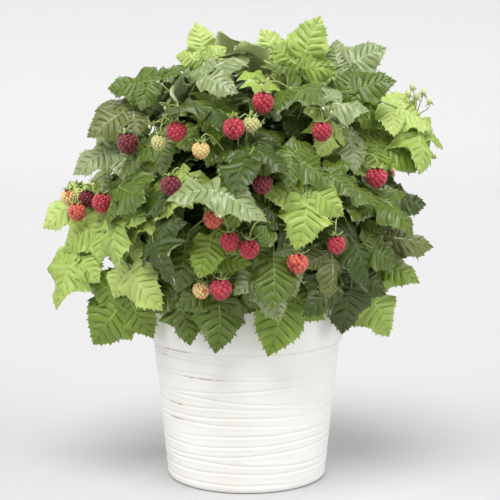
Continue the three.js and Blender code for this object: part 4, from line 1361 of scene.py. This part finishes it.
def make_soil():
    """The compost with its crumbs, a closed body down to just over the well's bottom."""
    bm = bmesh.new()
    bmesh.ops.create_circle(bm, cap_ends=True, cap_tris=True, segments=120, radius=SOIL_RADIUS * MM)
    spokes = [edge for edge in bm.edges if not edge.is_boundary]
    bmesh.ops.subdivide_edges(bm, edges=spokes, cuts=50, use_grid_fill=True)
    base = bmesh.ops.extrude_face_region(bm, geom=list(bm.faces))
    top = [g for g in base["geom"] if isinstance(g, bmesh.types.BMVert)]
    for v in top:
        x, y = v.co.x / MM, v.co.y / MM
        crumb = noise.noise(Vector((x, y, 0)) / 4.5) + 0.8 * noise.noise(Vector((x, y, 9)) / 2.0)
        v.co.z = (SOIL_LEVEL - 3.0 + 2.0 * crumb + 1.5 * noise.noise(Vector((x, y, 5)) / 25)) * MM
    moved = set(top)
    for v in bm.verts:
        if v not in moved:
            v.co.z = SOIL_BOTTOM * MM
    finish = mottled("potting_soil", (40, 28, 20), (84, 62, 44), 180, 0.95, 0.002, 400)
    return piece_from(bm, "potting_soil", finish)


# ---- the piece list


def keep(piece, slot, *replaced):
    """Says what a finished piece rides on, and the solids that it replaces. Its slot argument is not used.
    """
    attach(piece, "root")
    if replaced:
        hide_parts(*replaced)


crown = grow()
heaps, twigs = grow_foliage(crown)
fruit, green = grow_berries(crown)
blossom = grow_buds(crown, green)

for (name, *_), heap in zip(CANES, heaps):
    slot = "young_leaves" if name in YOUNG else "leaves"
    keep(heap.build(f"foliage_{name}", TONES), slot, f"leaves_{name}")

bark = mottled("green_bark", (96, 84, 44), (134, 132, 70), 60, 0.62, 0.0006, 500, (1, 1, 0.25))
cane_finishes = [bark, plain("prickle", (122, 84, 52), 0.5)]
keep(grow_canes().build("canes", cane_finishes), "cane", *[f"cane_{cane[0]}" for cane in CANES])

twig_finishes = [plain("green_stem", (124, 122, 62), 0.6), plain("leaf_stalk", (136, 160, 84), 0.55)]
keep(twigs.build("twigs", twig_finishes), "cane")

keep(fruit.build("berries", FRUIT_FINISHES), "leaves")

green_finishes = [plain("sepal", (158, 176, 104), 0.6), plain("berry_stalk", (164, 176, 100), 0.55)]
green_finishes.append(plain("berry_core", (214, 204, 150), 0.6))
keep(green.build("berry_stalks", green_finishes), "leaves")

keep(blossom.build("flower_buds", [plain("bud", (206, 214, 160), 0.6)]), "leaves")
keep(make_pot(), "pot", "pot")
keep(make_soil(), "soil", "soil")

# ---- stage, lights and camera


FLOOR_RADIUS = 3.2
WALL_CURVE = 1.1
LAMPS = [
    ("sky_above", (-0.2, -1.0, 2.0), 2.6, 36, (1.0, 0.99, 0.97)),
    ("sky_left", (-1.9, -0.8, 1.0), 1.2, 50, (1.0, 1.0, 0.99)),
    ("sky_right", (1.9, -0.8, 0.9), 1.6, 50, (1.0, 1.0, 1.0)),
    ("sky_back", (0.4, 1.6, 1.5), 0.8, 50, (1.0, 1.0, 0.98)),
]
SKY_STRENGTH = 0.27
CAMERA_AT, CAMERA_DIP, CAMERA_LENS = (0.0036, -1.6, 0.4602), 7.79, 110.03


def make_stage():
    """A pale round floor that curves up into a low wall, alike from every side."""
    line = [(0.0, 0.0), (FLOOR_RADIUS, 0.0)]
    for t in np.linspace(0.1, math.pi / 2, 16):
        line.append((FLOOR_RADIUS + WALL_CURVE * math.sin(t), WALL_CURVE * (1 - math.cos(t))))
    piece_from(spun(line, 96), "studio_floor", plain("studio_floor", (196, 196, 198), 0.9))


def light(name, way, strength, softness, rgb):
    """A far soft lamp that shines from a direction, softer the wider it looks in degrees."""
    data = bpy.data.lights.new(name, "SUN")
    data.energy = strength
    data.angle = math.radians(softness)
    data.color = rgb
    lamp = bpy.data.objects.new(name, data)
    lamp.location = way
    lamp.rotation_euler = (-Vector(way)).to_track_quat("-Z", "Y").to_euler()
    bpy.context.scene.collection.objects.link(lamp)


make_stage()
for lamp in LAMPS:
    light(*lamp)

world = bpy.data.worlds.new("studio_world")
world.use_nodes = True
sky = world.node_tree.nodes["Background"]
sky.inputs["Color"].default_value = (1.0, 1.0, 1.0, 1)
sky.inputs["Strength"].default_value = SKY_STRENGTH
bpy.context.scene.world = world
bpy.context.scene.view_settings.view_transform = "Standard"

camera_data = bpy.data.cameras.new("view")
camera_data.lens = CAMERA_LENS
camera_data.sensor_width = 36
camera = bpy.data.objects.new("view", camera_data)
camera.location = CAMERA_AT
camera.rotation_euler = (math.radians(90 - CAMERA_DIP), 0, 0)
bpy.context.scene.collection.objects.link(camera)
bpy.context.scene.camera = camera
